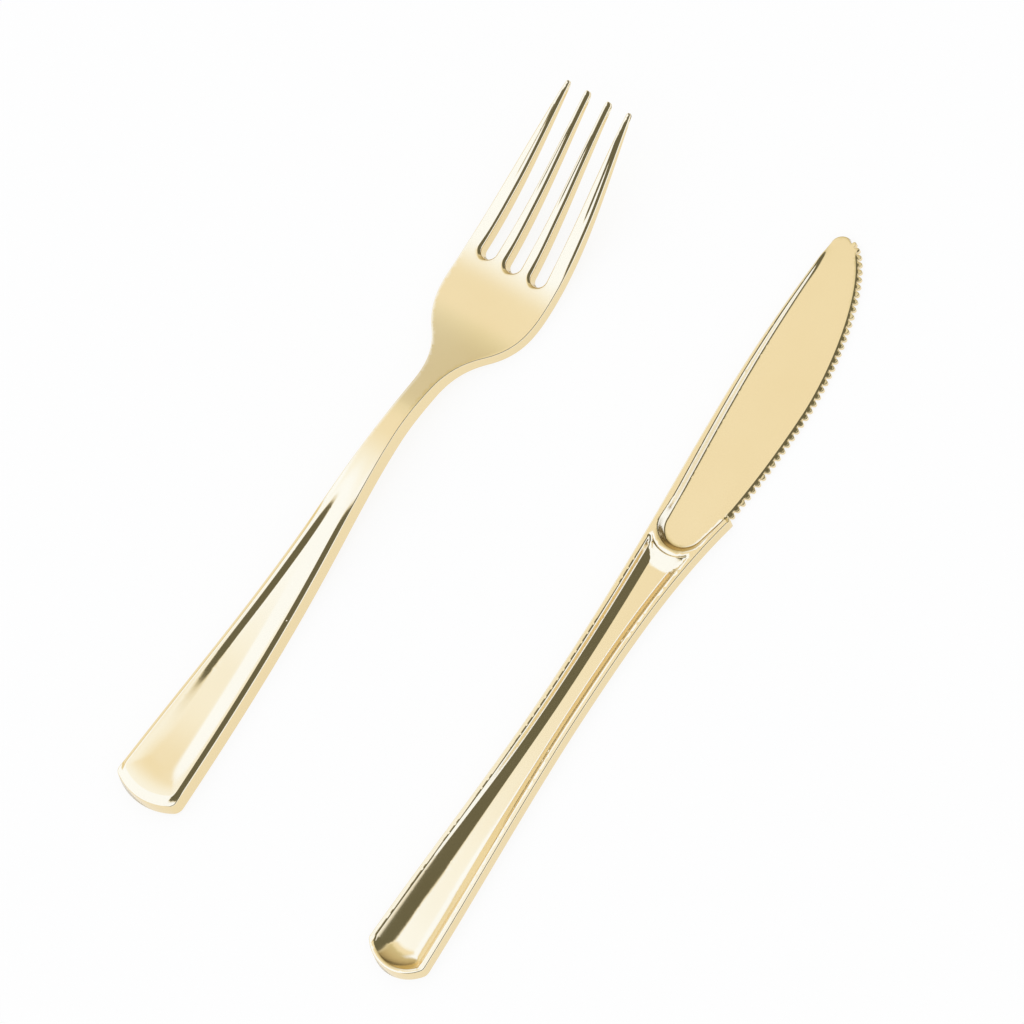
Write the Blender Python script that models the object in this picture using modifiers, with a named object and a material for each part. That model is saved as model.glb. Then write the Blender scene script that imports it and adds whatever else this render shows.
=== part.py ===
"""Plastic cutlery set: a four-tined fork and a table knife lying side by side.

Each is one injection moulding with a metallised gold skin. Each is drawn in a
frame of its own, with its butt at the origin, its tip towards +Y and its top
towards +Z, and is then laid on the table. All values are in millimetres and
degrees; MM turns the millimetres into Blender's metres.
"""

import math

import bmesh
import bpy
import numpy as np

MM = 0.001
SET_NAME = "plastic_cutlery_set"

# How the two lie on the table
BUTT_SPACING = 72.7        # from the fork's butt to the knife's
KNIFE_SETBACK = 1.8        # the knife's butt lies this far behind the fork's
KNIFE_TURN = 1.2           # the knife's tip leans this much towards the fork

# Fork, lengths along it
FORK_HANDLE = 105.0        # butt to the narrowest part of the neck
FORK_SHOULDER = 33.0       # neck to the widest part of the head
FORK_PALM = 5.5            # widest part to the roots of the slots
FORK_TINES = 42.0          # roots of the slots to the tips
NECK_RUN_IN = 7.0          # the handle's straight taper ends this far before the neck
SHOULDER_START = 5.5       # the neck starts to widen here, past its narrowest
SHOULDER_MIDDLE = 18.5     # and is half way to the head's width here

# Fork, widths of its top face
FORK_BUTT_WIDTH = 17.0
FORK_BUTT_ARC = 15.5       # radius of the butt's end
FORK_BUTT_CORNER = 1.7     # radius where the end meets the sides
FORK_NECK_WIDTH = 4.8
FORK_HEAD_WIDTH = 26.1
FORK_TIP_SPAN = 18.4       # across the outer tines at their tips
FORK_TIP_CORNER = 0.45     # rounding of each tine's tip

# Fork, side profile: its underside over the table, which it touches at two places
FORK_BUTT_RISE = 0.6
FORK_REST_AT = 36.0        # where the handle touches, from the butt
FORK_ARCH_RISE = 4.5       # top of the arch
ARCH_BEFORE_NECK = 8.0
ARCH_MIDDLE = 0.59         # place of the arch's steepest rise, between touch and top
ARCH_STEEPNESS = 1.8       # its slope there, over the mean slope
BOWL_BEFORE_WIDEST = 5.5   # the head touches from here
BOWL_TOUCH = 3.5           # and over this length
FORK_TIP_RISE = 15.0
TIP_SLOPE = 0.39           # rise of the tines per length, at their tips

# Fork, thickness of its edge
FORK_HANDLE_EDGE = 3.2
FORK_BOWL_EDGE = 2.45
FORK_TIP_EDGE = 1.0
TIP_THINNING = 0.07        # loss of thickness per length, at the tips
FORK_HANDLE_LEAN = 0.21    # lean of the side walls, out to the underside, over their height
FORK_HEAD_LEAN = 0.1
SLOT_LEAN = 0.015          # lean of the slots' walls, which leaves their feet over 4 mm apart
UNDER_BEVEL = 0.3

# Fork, moulded border of the handle
BORDER_BEVEL = 1.25        # sloping outer band
BUTT_BEVEL = 2.1           # the same band round the butt
BORDER_RISE = 0.65
BORDER_LAND = 0.35         # level band inside it
PANEL_SLOPE = 1.6          # band that falls to the panel
PANEL_DEPTH_BUTT = 0.15
PANEL_DEPTH_NECK = 0.65
BORDER_FADE = 26.0         # the border runs out over this length
BORDER_END = 21.0          # and ends this far before the neck
EDGE_BEVEL = 0.35          # plain edge of the neck and head
EDGE_RISE = 0.25

# Fork, slots
SLOT_ROOT_WIDTH = 4.15
SLOT_TIP_WIDTH = 4.4
SLOT_ROOT_PITCH = 7.27     # centre to centre
SLOT_TIP_PITCH = 5.95
SLOT_BEVEL_ROOT = 0.3
SLOT_BEVEL_TIP = 0.55
TINE_COUNT = 4

# Knife, lengths along it
KNIFE_WAIST_AT = 70.5
KNIFE_SHOULDER_AT = 119.5  # where the spine's side widens most
KNIFE_HEEL_AT = 121.1
KNIFE_BELLY_AT = 150.0     # where the blade is widest
KNIFE_SPINE_AT = 163.5     # where the spine stands out most
KNIFE_LENGTH = 189.9

# Knife, widths of its top face
KNIFE_BUTT_WIDTH = 15.2
KNIFE_BUTT_ARC = 9.5
KNIFE_BUTT_CORNER = 1.6
KNIFE_WAIST_WIDTH = 10.0
KNIFE_SHOULDER_REACH = 6.75
KNIFE_SPINE_REACH = 8.85   # axis to the spine, at its most
KNIFE_EDGE_REACH = 10.45   # axis to the tooth tips, at their most
KNIFE_HEEL_REACH = 9.3     # axis to the corner where the teeth start
KNIFE_EDGE_START = 8.65    # axis to the first tooth
KNIFE_NOSE_RADIUS = 2.65
KNIFE_NOSE_REACH = -3.9    # axis to the last tooth, on the spine's side
SHOULDER_STEEPNESS = 1.64  # slope of the spine's side there, over its mean slope
EDGE_CURVE = 1.7           # exponent of the belly's curve: 2 is an ellipse

# Knife, heights over the table
KNIFE_THICKNESS = 2.9
PANEL_HEIGHT = 1.3         # top of the blade's plate
SPINE_END_HEIGHT = 2.2     # the rib along the spine has sunk to this at the nose
TOOTH_TIP_HEIGHT = 0.45
KNIFE_EDGE_BEVEL = 0.25
KNIFE_SIDE_DRAFT = 0.15    # the side walls lean out by this, down to the underside
KNIFE_END_DRAFT = 0.55     # and the butt's end by this

# Knife, hollow of the handle
RIM_WIDTH = 1.2
BUTT_RIM = 1.0             # the rim's width at the butt
BUTT_GENTLE_RUN = 2.7      # the gentle band's width there
WALL_STEEP = 55.0          # upper slope of its walls, degrees
WALL_GENTLE = 31.0         # lower slope
STEEP_RUN_BUTT = 0.2       # width of the steep band
STEEP_RUN_NECK = 0.8
GENTLE_RUN_BUTT = 3.4
GENTLE_RUN_NECK = 1.7
SCOOP_END = 60.0           # the walls reach their narrow form this far up

# Knife, hollow of the blade and the ridge that parts it from the handle's
RECESS_CENTRE_X = 0.8
RECESS_CENTRE_Y = 115.7
RECESS_RADIUS = 4.8        # at the foot of its wall
RECESS_WALL = 60.0         # slope of its wall, degrees
RIDGE_OUTER_RADIUS = 7.3
RECESS_FOOT_HEEL = 2.5     # spine to the foot of the wall, at the handle
RECESS_FOOT_NOSE = 0.55    # and at the nose
RECESS_EXIT_X = 7.6        # where the wall runs out at the heel
HEEL_STEP = 0.8            # the first tooth stands this far past the heel's corner

# Knife, teeth
TOOTH_PITCH = 1.8
TOOTH_LENGTH = 1.35        # along the edge, out of each pitch
TOOTH_DEPTH = 0.9
GRIND_WIDTH = 0.95         # band over which the plate thins to the tooth tips
NOSE_GRIND_SHARE = 0.3     # share of the band's width that is left at the nose

# How finely the curves are divided
END_STEPS = 7
CORNER_STEPS = 5
HANDLE_STEP = 4.5
SHOULDER_STEP = 1.6
HEAD_STEP = 3.0
ROOT_STEPS = 8
TOOTH_STEPS = 6
RIDGE_SIDES = 64

# Room that the cutters have past the surfaces that they cut
CUT_ROOM = 2.0
CUT_TOP = 30.0
SLOT_RUN_OUT = 0.4         # the slots' bevels run on this far over the top face
WELD = 1e-7                # metres
SHARPEST = 0.25            # smallest radius of an outline's corner

# Finish
GOLD = (0.83, 0.65, 0.36, 1.0)
GOLD_ROUGHNESS = 0.14


# Curves

def curve(at, knots):
    """Value on a smooth curve through (place, value, slope) knots, level past its ends."""
    places, values, slopes = np.array(knots, float).T
    at = np.asarray(at, float)
    i = np.clip(np.searchsorted(places, at) - 1, 0, len(places) - 2)
    span = places[i + 1] - places[i]
    t = np.clip((at - places[i]) / span, 0.0, 1.0)
    blend = t * t * (3.0 - 2.0 * t)
    bend = slopes[i] * (1.0 - t) - slopes[i + 1] * t
    return values[i] * (1.0 - blend) + values[i + 1] * blend + span * t * (1.0 - t) * bend


def along(value, y):
    """A value that holds everywhere, or a function's values at y."""
    return value(y) if callable(value) else np.full(np.shape(y), float(value))


def steps(start, end, step):
    """Places from start to end, near step apart."""
    return np.linspace(start, end, max(2, round(abs(end - start) / step) + 1))


def butt_end(half_width, arc, corner, side_in=0.0, end_in=0.0):
    """Right half of a handle's rounded end, from the axis to where the side starts.

    side_in and end_in move the side and the end inwards.
    """
    corner = max(corner - min(side_in, end_in), SHARPEST)
    radius = arc - end_in
    corner_x = half_width - side_in - corner
    corner_y = arc - math.sqrt((radius - corner) ** 2 - corner_x ** 2)
    turn = math.atan2(corner_x, arc - corner_y)
    points = [(radius * math.sin(a), arc - radius * math.cos(a)) for a in np.linspace(0.0, turn, END_STEPS)]
    for a in np.linspace(turn, math.pi / 2, CORNER_STEPS)[1:]:
        points.append((corner_x + corner * math.sin(a), corner_y - corner * math.cos(a)))
    return points


def inward(points):
    """Unit normals of a closed outline that runs counter-clockwise, towards its inside."""
    points = np.asarray(points, float)
    run = np.roll(points, -1, axis=0) - np.roll(points, 1, axis=0)
    normals = np.stack([-run[:, 1], run[:, 0]], axis=1)
    return normals / np.linalg.norm(normals, axis=1)[:, None]


# Meshes

def new_object(name, mesh, collection):
    """Object for a mesh, in one collection."""
    obj = bpy.data.objects.new(name, mesh)
    collection.objects.link(obj)
    return obj


def finish_mesh(name, bm, material=None):
    """Mesh from a bmesh, welded where rings meet."""
    bmesh.ops.remove_doubles(bm, verts=bm.verts, dist=WELD)
    mesh = bpy.data.meshes.new(name)
    bm.to_mesh(mesh)
    bm.free()
    if material:
        mesh.materials.append(material)
    return mesh


def loft(name, rings, closed, capped, material=None):
    """Skin over rings of equally many points, which run counter-clockwise seen from above.

    The rings go from the bottom, out and up to the top, so that the faces point out.
    """
    bm = bmesh.new()
    loops = [[bm.verts.new(tuple(float(v) * MM for v in point)) for point in ring] for ring in rings]
    count = len(loops[0])
    for lower, upper in zip(loops, loops[1:]):
        for i in range(count if closed else count - 1):
            j = (i + 1) % count
            bm.faces.new((lower[i], lower[j], upper[j], upper[i]))
    if capped:
        bm.faces.new(loops[0][::-1])
        bm.faces.new(loops[-1])
    return finish_mesh(name, bm, material)


def stack(plan, heights):
    """Ring of points: places seen from above, each with its own height."""
    heights = np.broadcast_to(heights, (len(plan),))
    return np.column_stack([plan, heights])


def cut(obj, cutter):
    """Take one solid out of another, which it follows when that moves."""
    cutter.parent = obj
    modifier = obj.modifiers.new("cut_" + cutter.name, "BOOLEAN")
    modifier.operation = "DIFFERENCE"
    modifier.solver = "EXACT"
    modifier.object = cutter


def new_cutter(name, mesh, collection):
    """Cutter: shown as wire and never rendered."""
    obj = new_object(name, mesh, collection)
    obj.hide_render = True
    obj.display_type = "WIRE"
    return obj


def gold_plastic(name):
    """Plastic under a thin metallised gold skin."""
    material = bpy.data.materials.new(name)
    material.use_nodes = True
    shader = material.node_tree.nodes["Principled BSDF"]
    shader.inputs["Base Color"].default_value = GOLD
    shader.inputs["Metallic"].default_value = 1.0
    shader.inputs["Roughness"].default_value = GOLD_ROUGHNESS
    material.diffuse_color = GOLD
    return material


# Fork

FORK_WIDEST_AT = FORK_HANDLE + FORK_SHOULDER
FORK_ROOT_AT = FORK_WIDEST_AT + FORK_PALM
FORK_LENGTH = FORK_ROOT_AT + FORK_TINES


def fork_half_width(y):
    """Half the width of the fork's top face."""
    side_start = butt_end(FORK_BUTT_WIDTH / 2, FORK_BUTT_ARC, FORK_BUTT_CORNER)[-1][1]
    taper_end = FORK_HANDLE - NECK_RUN_IN
    neck = FORK_NECK_WIDTH / 2
    head = FORK_HEAD_WIDTH / 2
    taper = (neck - FORK_BUTT_WIDTH / 2) / (taper_end - side_start)
    return curve(y, [
        (side_start, FORK_BUTT_WIDTH / 2, 0.6 * taper),
        (taper_end, neck + 0.15, 0.8 * taper),
        (FORK_HANDLE, neck, 0.0),
        (FORK_HANDLE + SHOULDER_START, neck + 0.1, 0.03),
        (FORK_HANDLE + SHOULDER_MIDDLE, (neck + head) / 2, 3.0 * (head - neck) / FORK_SHOULDER),
        (FORK_WIDEST_AT, head, 0.0),
        (FORK_ROOT_AT + 0.4 * FORK_TINES, 0.26 * FORK_TIP_SPAN / 2 + 0.74 * head, -0.09),
        (FORK_LENGTH, FORK_TIP_SPAN / 2, -0.12),
    ])


def fork_under(y):
    """Height of the fork's underside over the table."""
    arch_at = FORK_HANDLE - ARCH_BEFORE_NECK
    run = arch_at - FORK_REST_AT
    return curve(y, [
        (0.0, FORK_BUTT_RISE, -FORK_BUTT_RISE / FORK_REST_AT),
        (FORK_REST_AT, 0.0, 0.0),
        (FORK_REST_AT + ARCH_MIDDLE * run, FORK_ARCH_RISE / 2, ARCH_STEEPNESS * FORK_ARCH_RISE / run),
        (arch_at, FORK_ARCH_RISE, 0.0),
        (FORK_WIDEST_AT - BOWL_BEFORE_WIDEST, 0.0, 0.0),
        (FORK_WIDEST_AT - BOWL_BEFORE_WIDEST + BOWL_TOUCH, 0.0, 0.0),
        (FORK_LENGTH, FORK_TIP_RISE, TIP_SLOPE),
    ])


def fork_edge(y):
    """Thickness of the fork's edge."""
    thinning = (FORK_BOWL_EDGE - FORK_HANDLE_EDGE) / FORK_SHOULDER
    return curve(y, [
        (FORK_HANDLE, FORK_HANDLE_EDGE, thinning),
        (FORK_WIDEST_AT, FORK_BOWL_EDGE, 0.0),
        (FORK_LENGTH, FORK_TIP_EDGE, -TIP_THINNING),
    ])


def fork_top(y):
    """Height of the edge of the fork's top face."""
    return fork_under(y) + fork_edge(y)


def border(y):
    """How much of the handle's moulded border there is: 1 on the handle, 0 from the neck on."""
    end = FORK_HANDLE - BORDER_END
    return curve(y, [(end - BORDER_FADE, 1.0, 0.0), (end, 0.0, 0.0)])


def fork_ring(side_in, end_in, height):
    """Right half of a ring round the fork, from the butt to the middle of the tips.

    side_in and end_in place it in from the top face's outline, and height over that face.
    """
    half = FORK_BUTT_WIDTH / 2
    side_start = butt_end(half, FORK_BUTT_ARC, FORK_BUTT_CORNER)[-1][1]
    end = butt_end(half, FORK_BUTT_ARC, FORK_BUTT_CORNER, along(side_in, 0.0), end_in)
    tip_in = along(side_in, FORK_LENGTH)
    corner = max(FORK_TIP_CORNER - tip_in, SHARPEST)
    y = np.concatenate([
        steps(side_start, FORK_HANDLE, HANDLE_STEP)[1:],
        steps(FORK_HANDLE, FORK_WIDEST_AT, SHOULDER_STEP)[1:],
        steps(FORK_WIDEST_AT, FORK_LENGTH, HEAD_STEP)[1:-1],
        [FORK_LENGTH - tip_in - corner],
    ])
    side = np.column_stack([fork_half_width(y) - along(side_in, y), y])
    turn = np.linspace(0.0, math.pi / 2, CORNER_STEPS)[1:]
    tip = side[-1] + corner * np.column_stack([np.cos(turn) - 1.0, np.sin(turn)])
    plan = np.concatenate([end, side, tip, [(0.0, FORK_LENGTH - tip_in)]])
    return stack(plan, fork_top(plan[:, 1]) + along(height, plan[:, 1]))


def to_axis(ring):
    """A ring's points drawn in to the fork's axis."""
    return ring * (0.0, 1.0, 1.0)


def fork_body(collection, material):
    """Solid of the fork before its slots are cut: half of it, mirrored."""
    def depth(y):
        """How far the panel lies under its border."""
        grown = curve(y, [(0.0, PANEL_DEPTH_BUTT, 0.0), (FORK_REST_AT, PANEL_DEPTH_NECK, 0.0)])
        return border(y) * grown

    def rise(y):
        return EDGE_RISE + border(y) * (BORDER_RISE - EDGE_RISE)

    def bevel(y):
        return EDGE_BEVEL + border(y) * (BORDER_BEVEL - EDGE_BEVEL)

    def land(y):
        return bevel(y) + border(y) * BORDER_LAND

    def slope(y):
        return land(y) + border(y) * PANEL_SLOPE

    def lean(y):
        """How far the side walls lean out, down to the underside."""
        share = curve(y, [(FORK_HANDLE, FORK_HANDLE_LEAN, 0.0), (FORK_WIDEST_AT, FORK_HEAD_LEAN, 0.0)])
        return share * fork_edge(y)

    end_lean = FORK_HANDLE_LEAN * FORK_HANDLE_EDGE
    under = fork_ring(lambda y: UNDER_BEVEL - lean(y), UNDER_BEVEL - end_lean, lambda y: -fork_edge(y))
    panel = fork_ring(slope, BUTT_BEVEL + BORDER_LAND + PANEL_SLOPE, lambda y: rise(y) - depth(y))
    rings = [
        to_axis(under),
        under,
        fork_ring(lambda y: -lean(y), -end_lean, lambda y: UNDER_BEVEL - fork_edge(y)),
        fork_ring(0.0, 0.0, 0.0),
        fork_ring(bevel, BUTT_BEVEL, rise),
        fork_ring(land, BUTT_BEVEL + BORDER_LAND, rise),
        panel,
        to_axis(panel),
    ]
    obj = new_object("fork", loft("fork", rings, closed=False, capped=False, material=material), collection)
    mirror = obj.modifiers.new("mirror", "MIRROR")
    mirror.merge_threshold = 0.00001
    return obj


def slot_bevel(y):
    """Width of the bevel along a slot, which widens towards the tips."""
    return np.interp(y, [FORK_ROOT_AT, FORK_LENGTH], [SLOT_BEVEL_ROOT, SLOT_BEVEL_TIP])


def slot_ring(place, wider, height):
    """Outline of one slot with its walls moved out; place is -1, 0 or 1 from left to right."""
    turn = np.linspace(0.0, math.pi / 2, CORNER_STEPS)[1:]
    y = np.concatenate([
        steps(FORK_ROOT_AT + SLOT_ROOT_WIDTH / 2, FORK_LENGTH - FORK_TIP_CORNER, HEAD_STEP),
        FORK_LENGTH - FORK_TIP_CORNER * (1.0 - np.sin(turn)),
        [FORK_LENGTH + CUT_ROOM],
    ])
    share = np.clip((y - FORK_ROOT_AT) / FORK_TINES, 0.0, 1.0)
    pitch = SLOT_ROOT_PITCH + (SLOT_TIP_PITCH - SLOT_ROOT_PITCH) * np.sin(share * math.pi / 2)
    into_tip = np.clip(y - FORK_LENGTH + FORK_TIP_CORNER, 0.0, FORK_TIP_CORNER)
    flare = FORK_TIP_CORNER - np.sqrt(FORK_TIP_CORNER ** 2 - into_tip ** 2)
    half = (SLOT_ROOT_WIDTH + (SLOT_TIP_WIDTH - SLOT_ROOT_WIDTH) * share) / 2 + flare + along(wider, y)
    turn = np.linspace(math.pi, 2 * math.pi, ROOT_STEPS + 1)[1:-1]
    root = np.column_stack([place * pitch[0] + half[0] * np.cos(turn), y[0] + half[0] * np.sin(turn)])
    left = np.column_stack([place * pitch - half, y])[::-1]
    right = np.column_stack([place * pitch + half, y])
    plan = np.concatenate([left, root, right])
    return stack(plan, along(height, plan[:, 1]))


def slot_cutter(place, name, collection):
    """Slot that narrows downwards, with a bevel where its walls meet the top face."""
    rings = [
        slot_ring(place, lambda y: -SLOT_LEAN * (fork_edge(y) + CUT_ROOM), lambda y: fork_under(y) - CUT_ROOM),
        slot_ring(place, 0.0, lambda y: fork_top(y) + EDGE_RISE - slot_bevel(y)),
        slot_ring(place, lambda y: slot_bevel(y) + SLOT_RUN_OUT, lambda y: fork_top(y) + EDGE_RISE + SLOT_RUN_OUT),
        slot_ring(place, lambda y: slot_bevel(y) + SLOT_RUN_OUT, CUT_TOP),
    ]
    return new_cutter(name, loft(name, rings, closed=True, capped=True), collection)


def build_fork(parts, cutters):
    """Fork: the body with its slots cut."""
    fork = fork_body(parts, gold_plastic("fork_gold"))
    slots = TINE_COUNT - 1
    for i in range(slots):
        cut(fork, slot_cutter(i - (slots - 1) / 2, f"fork_slot_{i + 1}", cutters))
    return fork


# Knife

def knife_left(y):
    """Axis to the left side: handle, then spine."""
    side_start = butt_end(KNIFE_BUTT_WIDTH / 2, KNIFE_BUTT_ARC, KNIFE_BUTT_CORNER)[-1][1]
    mean_slope = (KNIFE_SPINE_REACH - KNIFE_WAIST_WIDTH / 2) / (KNIFE_SPINE_AT - KNIFE_WAIST_AT)
    return curve(y, [
        (side_start, KNIFE_BUTT_WIDTH / 2, -0.03),
        (KNIFE_WAIST_AT, KNIFE_WAIST_WIDTH / 2, 0.0),
        (KNIFE_SHOULDER_AT, KNIFE_SHOULDER_REACH, SHOULDER_STEEPNESS * mean_slope),
        (KNIFE_SPINE_AT, KNIFE_SPINE_REACH, 0.0),
        (KNIFE_LENGTH, KNIFE_SPINE_REACH - 1.0, -0.1),
    ])


def knife_right(y):
    """Axis to the right side, from the butt to the heel."""
    side_start = butt_end(KNIFE_BUTT_WIDTH / 2, KNIFE_BUTT_ARC, KNIFE_BUTT_CORNER)[-1][1]
    return curve(y, [
        (side_start, KNIFE_BUTT_WIDTH / 2, -0.03),
        (KNIFE_WAIST_AT, KNIFE_WAIST_WIDTH / 2, 0.0),
        (KNIFE_HEEL_AT, KNIFE_HEEL_REACH, 0.24),
    ])


def cutting_edge():
    """Smooth line through the tooth tips, from the heel to the nose."""
    y = np.linspace(KNIFE_HEEL_AT + HEEL_STEP, KNIFE_BELLY_AT, 80)
    x = curve(y, [(y[0], KNIFE_EDGE_START, 0.14), (KNIFE_BELLY_AT, KNIFE_EDGE_REACH, 0.0)])
    a = np.linspace(0.0, math.pi / 2, 160)[1:-1]
    reach = KNIFE_EDGE_REACH - KNIFE_NOSE_REACH
    nose_x = KNIFE_NOSE_REACH + reach * np.cos(a) ** (2.0 / EDGE_CURVE)
    nose_y = KNIFE_BELLY_AT + (KNIFE_LENGTH - KNIFE_BELLY_AT) * np.sin(a) ** (2.0 / EDGE_CURVE)
    return np.concatenate([np.column_stack([x, y]), np.column_stack([nose_x, nose_y])])


def teeth():
    """Points along the toothed edge: rounded teeth with narrow gaps between them.

    Returns each point's place on the smooth line, its inward normal, how deep it lies
    behind the line, and how far it is along the line, from 0 to 1.
    """
    line = cutting_edge()
    along = np.concatenate([[0.0], np.cumsum(np.linalg.norm(np.diff(line, axis=0), axis=1))])
    run = np.gradient(line, along, axis=0)
    count = max(1, round(along[-1] / TOOTH_PITCH))
    turn = np.linspace(0.0, math.pi, TOOTH_STEPS + 1)
    half = TOOTH_LENGTH / TOOTH_PITCH / 2
    at = (np.arange(count)[:, None] + 0.5 - half * np.cos(turn)).ravel() * along[-1] / count
    depth = np.tile(TOOTH_DEPTH * (1.0 - np.sin(turn)), count)
    points = np.column_stack([np.interp(at, along, line[:, i]) for i in range(2)])
    ahead = np.column_stack([np.interp(at, along, run[:, i]) for i in range(2)])
    normals = np.column_stack([-ahead[:, 1], ahead[:, 0]]) / np.linalg.norm(ahead, axis=1)[:, None]
    return points, normals, depth, at / along[-1]


def knife_outline():
    """Outline of the top face, counter-clockwise from the butt.

    Returns the points on the smooth outline, their inward normals, how deep the teeth
    cut behind them, and how far each is along the toothed edge, or -1 elsewhere.
    """
    end = butt_end(KNIFE_BUTT_WIDTH / 2, KNIFE_BUTT_ARC, KNIFE_BUTT_CORNER)
    right = [(float(knife_right(y)), float(y)) for y in steps(end[-1][1], KNIFE_HEEL_AT, HANDLE_STEP)[1:]]
    edge, edge_normals, depth, along = teeth()
    nose_y = KNIFE_LENGTH - KNIFE_NOSE_RADIUS
    nose_x = -float(knife_left(nose_y)) + KNIFE_NOSE_RADIUS
    nose = [(nose_x + KNIFE_NOSE_RADIUS * math.cos(a), nose_y + KNIFE_NOSE_RADIUS * math.sin(a))
            for a in np.radians(np.linspace(84.0, 180.0, CORNER_STEPS))]
    left = [(-float(knife_left(y)), float(y)) for y in steps(nose_y, end[-1][1], HANDLE_STEP)[1:-1]]
    left_end = [(-px, py) for px, py in end[:0:-1]]
    before = np.array(end + right)
    after = np.array(nose + left + left_end)
    points = np.concatenate([before, edge, after])
    normals = inward(points)
    first = len(before)
    last = first + len(edge)
    normals[first:last] = edge_normals
    deep = np.zeros(len(points))
    deep[first:last] = depth
    place = np.full(len(points), -1.0)
    place[first:last] = along
    return points, normals, deep, place


def knife_blank(collection, material):
    """Flat blank of the knife: its outline with teeth, its edges bevelled, its edge ground."""
    points, normals, deep, place = knife_outline()
    toothed = place >= 0.0
    cut_back = points + normals * deep[:, None]

    def moved(offset):
        """Outline with its teeth, moved in."""
        return cut_back + normals * np.broadcast_to(offset, (len(points),))[:, None]

    fall = (PANEL_HEIGHT - TOOTH_TIP_HEIGHT) / GRIND_WIDTH
    rim_height = KNIFE_THICKNESS - KNIFE_EDGE_BEVEL
    top_edge = np.where(toothed, TOOTH_TIP_HEIGHT + deep * fall, rim_height)
    narrowing = 1.0 - (1.0 - NOSE_GRIND_SHARE) * curve(place, [(0.8, 0.0, 0.0), (1.0, 1.0, 0.0)])
    grind = (KNIFE_THICKNESS - TOOTH_TIP_HEIGHT) / fall * narrowing
    top = points + normals * np.where(toothed, grind, KNIFE_EDGE_BEVEL)[:, None]
    facing_back = np.maximum(normals[:, 1], 0.0) ** 2
    draft = KNIFE_SIDE_DRAFT + (KNIFE_END_DRAFT - KNIFE_SIDE_DRAFT) * facing_back
    side = np.where(toothed, 0.0, -draft)
    under = np.where(toothed, 0.0, UNDER_BEVEL)
    rings = [
        stack(moved(side + under), 0.0),
        stack(moved(side), np.where(toothed, 0.5 * TOOTH_TIP_HEIGHT, UNDER_BEVEL)),
        stack(moved(0.0), top_edge),
        stack(top, KNIFE_THICKNESS),
    ]
    return new_object("knife", loft("knife", rings, closed=True, capped=True, material=material), collection)


def hollow_ring(side_in, end_in, height):
    """Ring in from the handle's outline, open across the handle where the blade starts."""
    half = KNIFE_BUTT_WIDTH / 2
    side_start = butt_end(half, KNIFE_BUTT_ARC, KNIFE_BUTT_CORNER)[-1][1]
    end = np.array(butt_end(half, KNIFE_BUTT_ARC, KNIFE_BUTT_CORNER, along(side_in, 0.0), end_in))
    y = steps(side_start, RECESS_CENTRE_Y, HANDLE_STEP)[1:]
    right = np.column_stack([knife_right(y) - along(side_in, y), y])
    left = np.column_stack([along(side_in, y) - knife_left(y), y])
    plan = np.concatenate([end, right, left[::-1], end[:0:-1] * (-1.0, 1.0)])
    return stack(plan, along(height, plan[:, 1]))


def hollow_cutter(collection):
    """Channel of the handle: a steep band, a gentler one, and a narrow floor."""
    steep = math.tan(math.radians(WALL_STEEP))
    gentle = math.tan(math.radians(WALL_GENTLE))

    def steep_run(y):
        return curve(y, [(0.0, STEEP_RUN_BUTT, 0.0), (SCOOP_END, STEEP_RUN_NECK, 0.0)])

    def gentle_run(y):
        return curve(y, [(0.0, GENTLE_RUN_BUTT, 0.0), (SCOOP_END, GENTLE_RUN_NECK, 0.0)])

    def crease(y):
        """Height at which the walls change slope."""
        return KNIFE_THICKNESS - steep_run(y) * steep

    rings = [
        hollow_ring(lambda y: RIM_WIDTH + steep_run(y) + gentle_run(y),
                    BUTT_RIM + STEEP_RUN_BUTT + BUTT_GENTLE_RUN,
                    lambda y: crease(y) - gentle_run(y) * gentle),
        hollow_ring(lambda y: RIM_WIDTH + steep_run(y), BUTT_RIM + STEEP_RUN_BUTT, crease),
        hollow_ring(RIM_WIDTH, BUTT_RIM, KNIFE_THICKNESS),
        hollow_ring(RIM_WIDTH, BUTT_RIM, KNIFE_THICKNESS + CUT_ROOM),
    ]
    return new_cutter("knife_hollow", loft("knife_hollow", rings, closed=True, capped=True), collection)


def ridge_cone(collection):
    """Cone whose flank ends the handle's hollow in front of the blade."""
    gentle = math.tan(math.radians(WALL_GENTLE))
    low, high = -CUT_ROOM, KNIFE_THICKNESS + CUT_ROOM
    bm = bmesh.new()
    bmesh.ops.create_cone(
        bm, cap_ends=True, segments=RIDGE_SIDES, depth=(high - low) * MM,
        radius1=(RIDGE_OUTER_RADIUS + (KNIFE_THICKNESS - low) / gentle) * MM,
        radius2=(RIDGE_OUTER_RADIUS + (KNIFE_THICKNESS - high) / gentle) * MM)
    obj = new_cutter("knife_ridge", finish_mesh("knife_ridge", bm), collection)
    obj.location = (RECESS_CENTRE_X * MM, RECESS_CENTRE_Y * MM, (high + low) / 2 * MM)
    return obj


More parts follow.
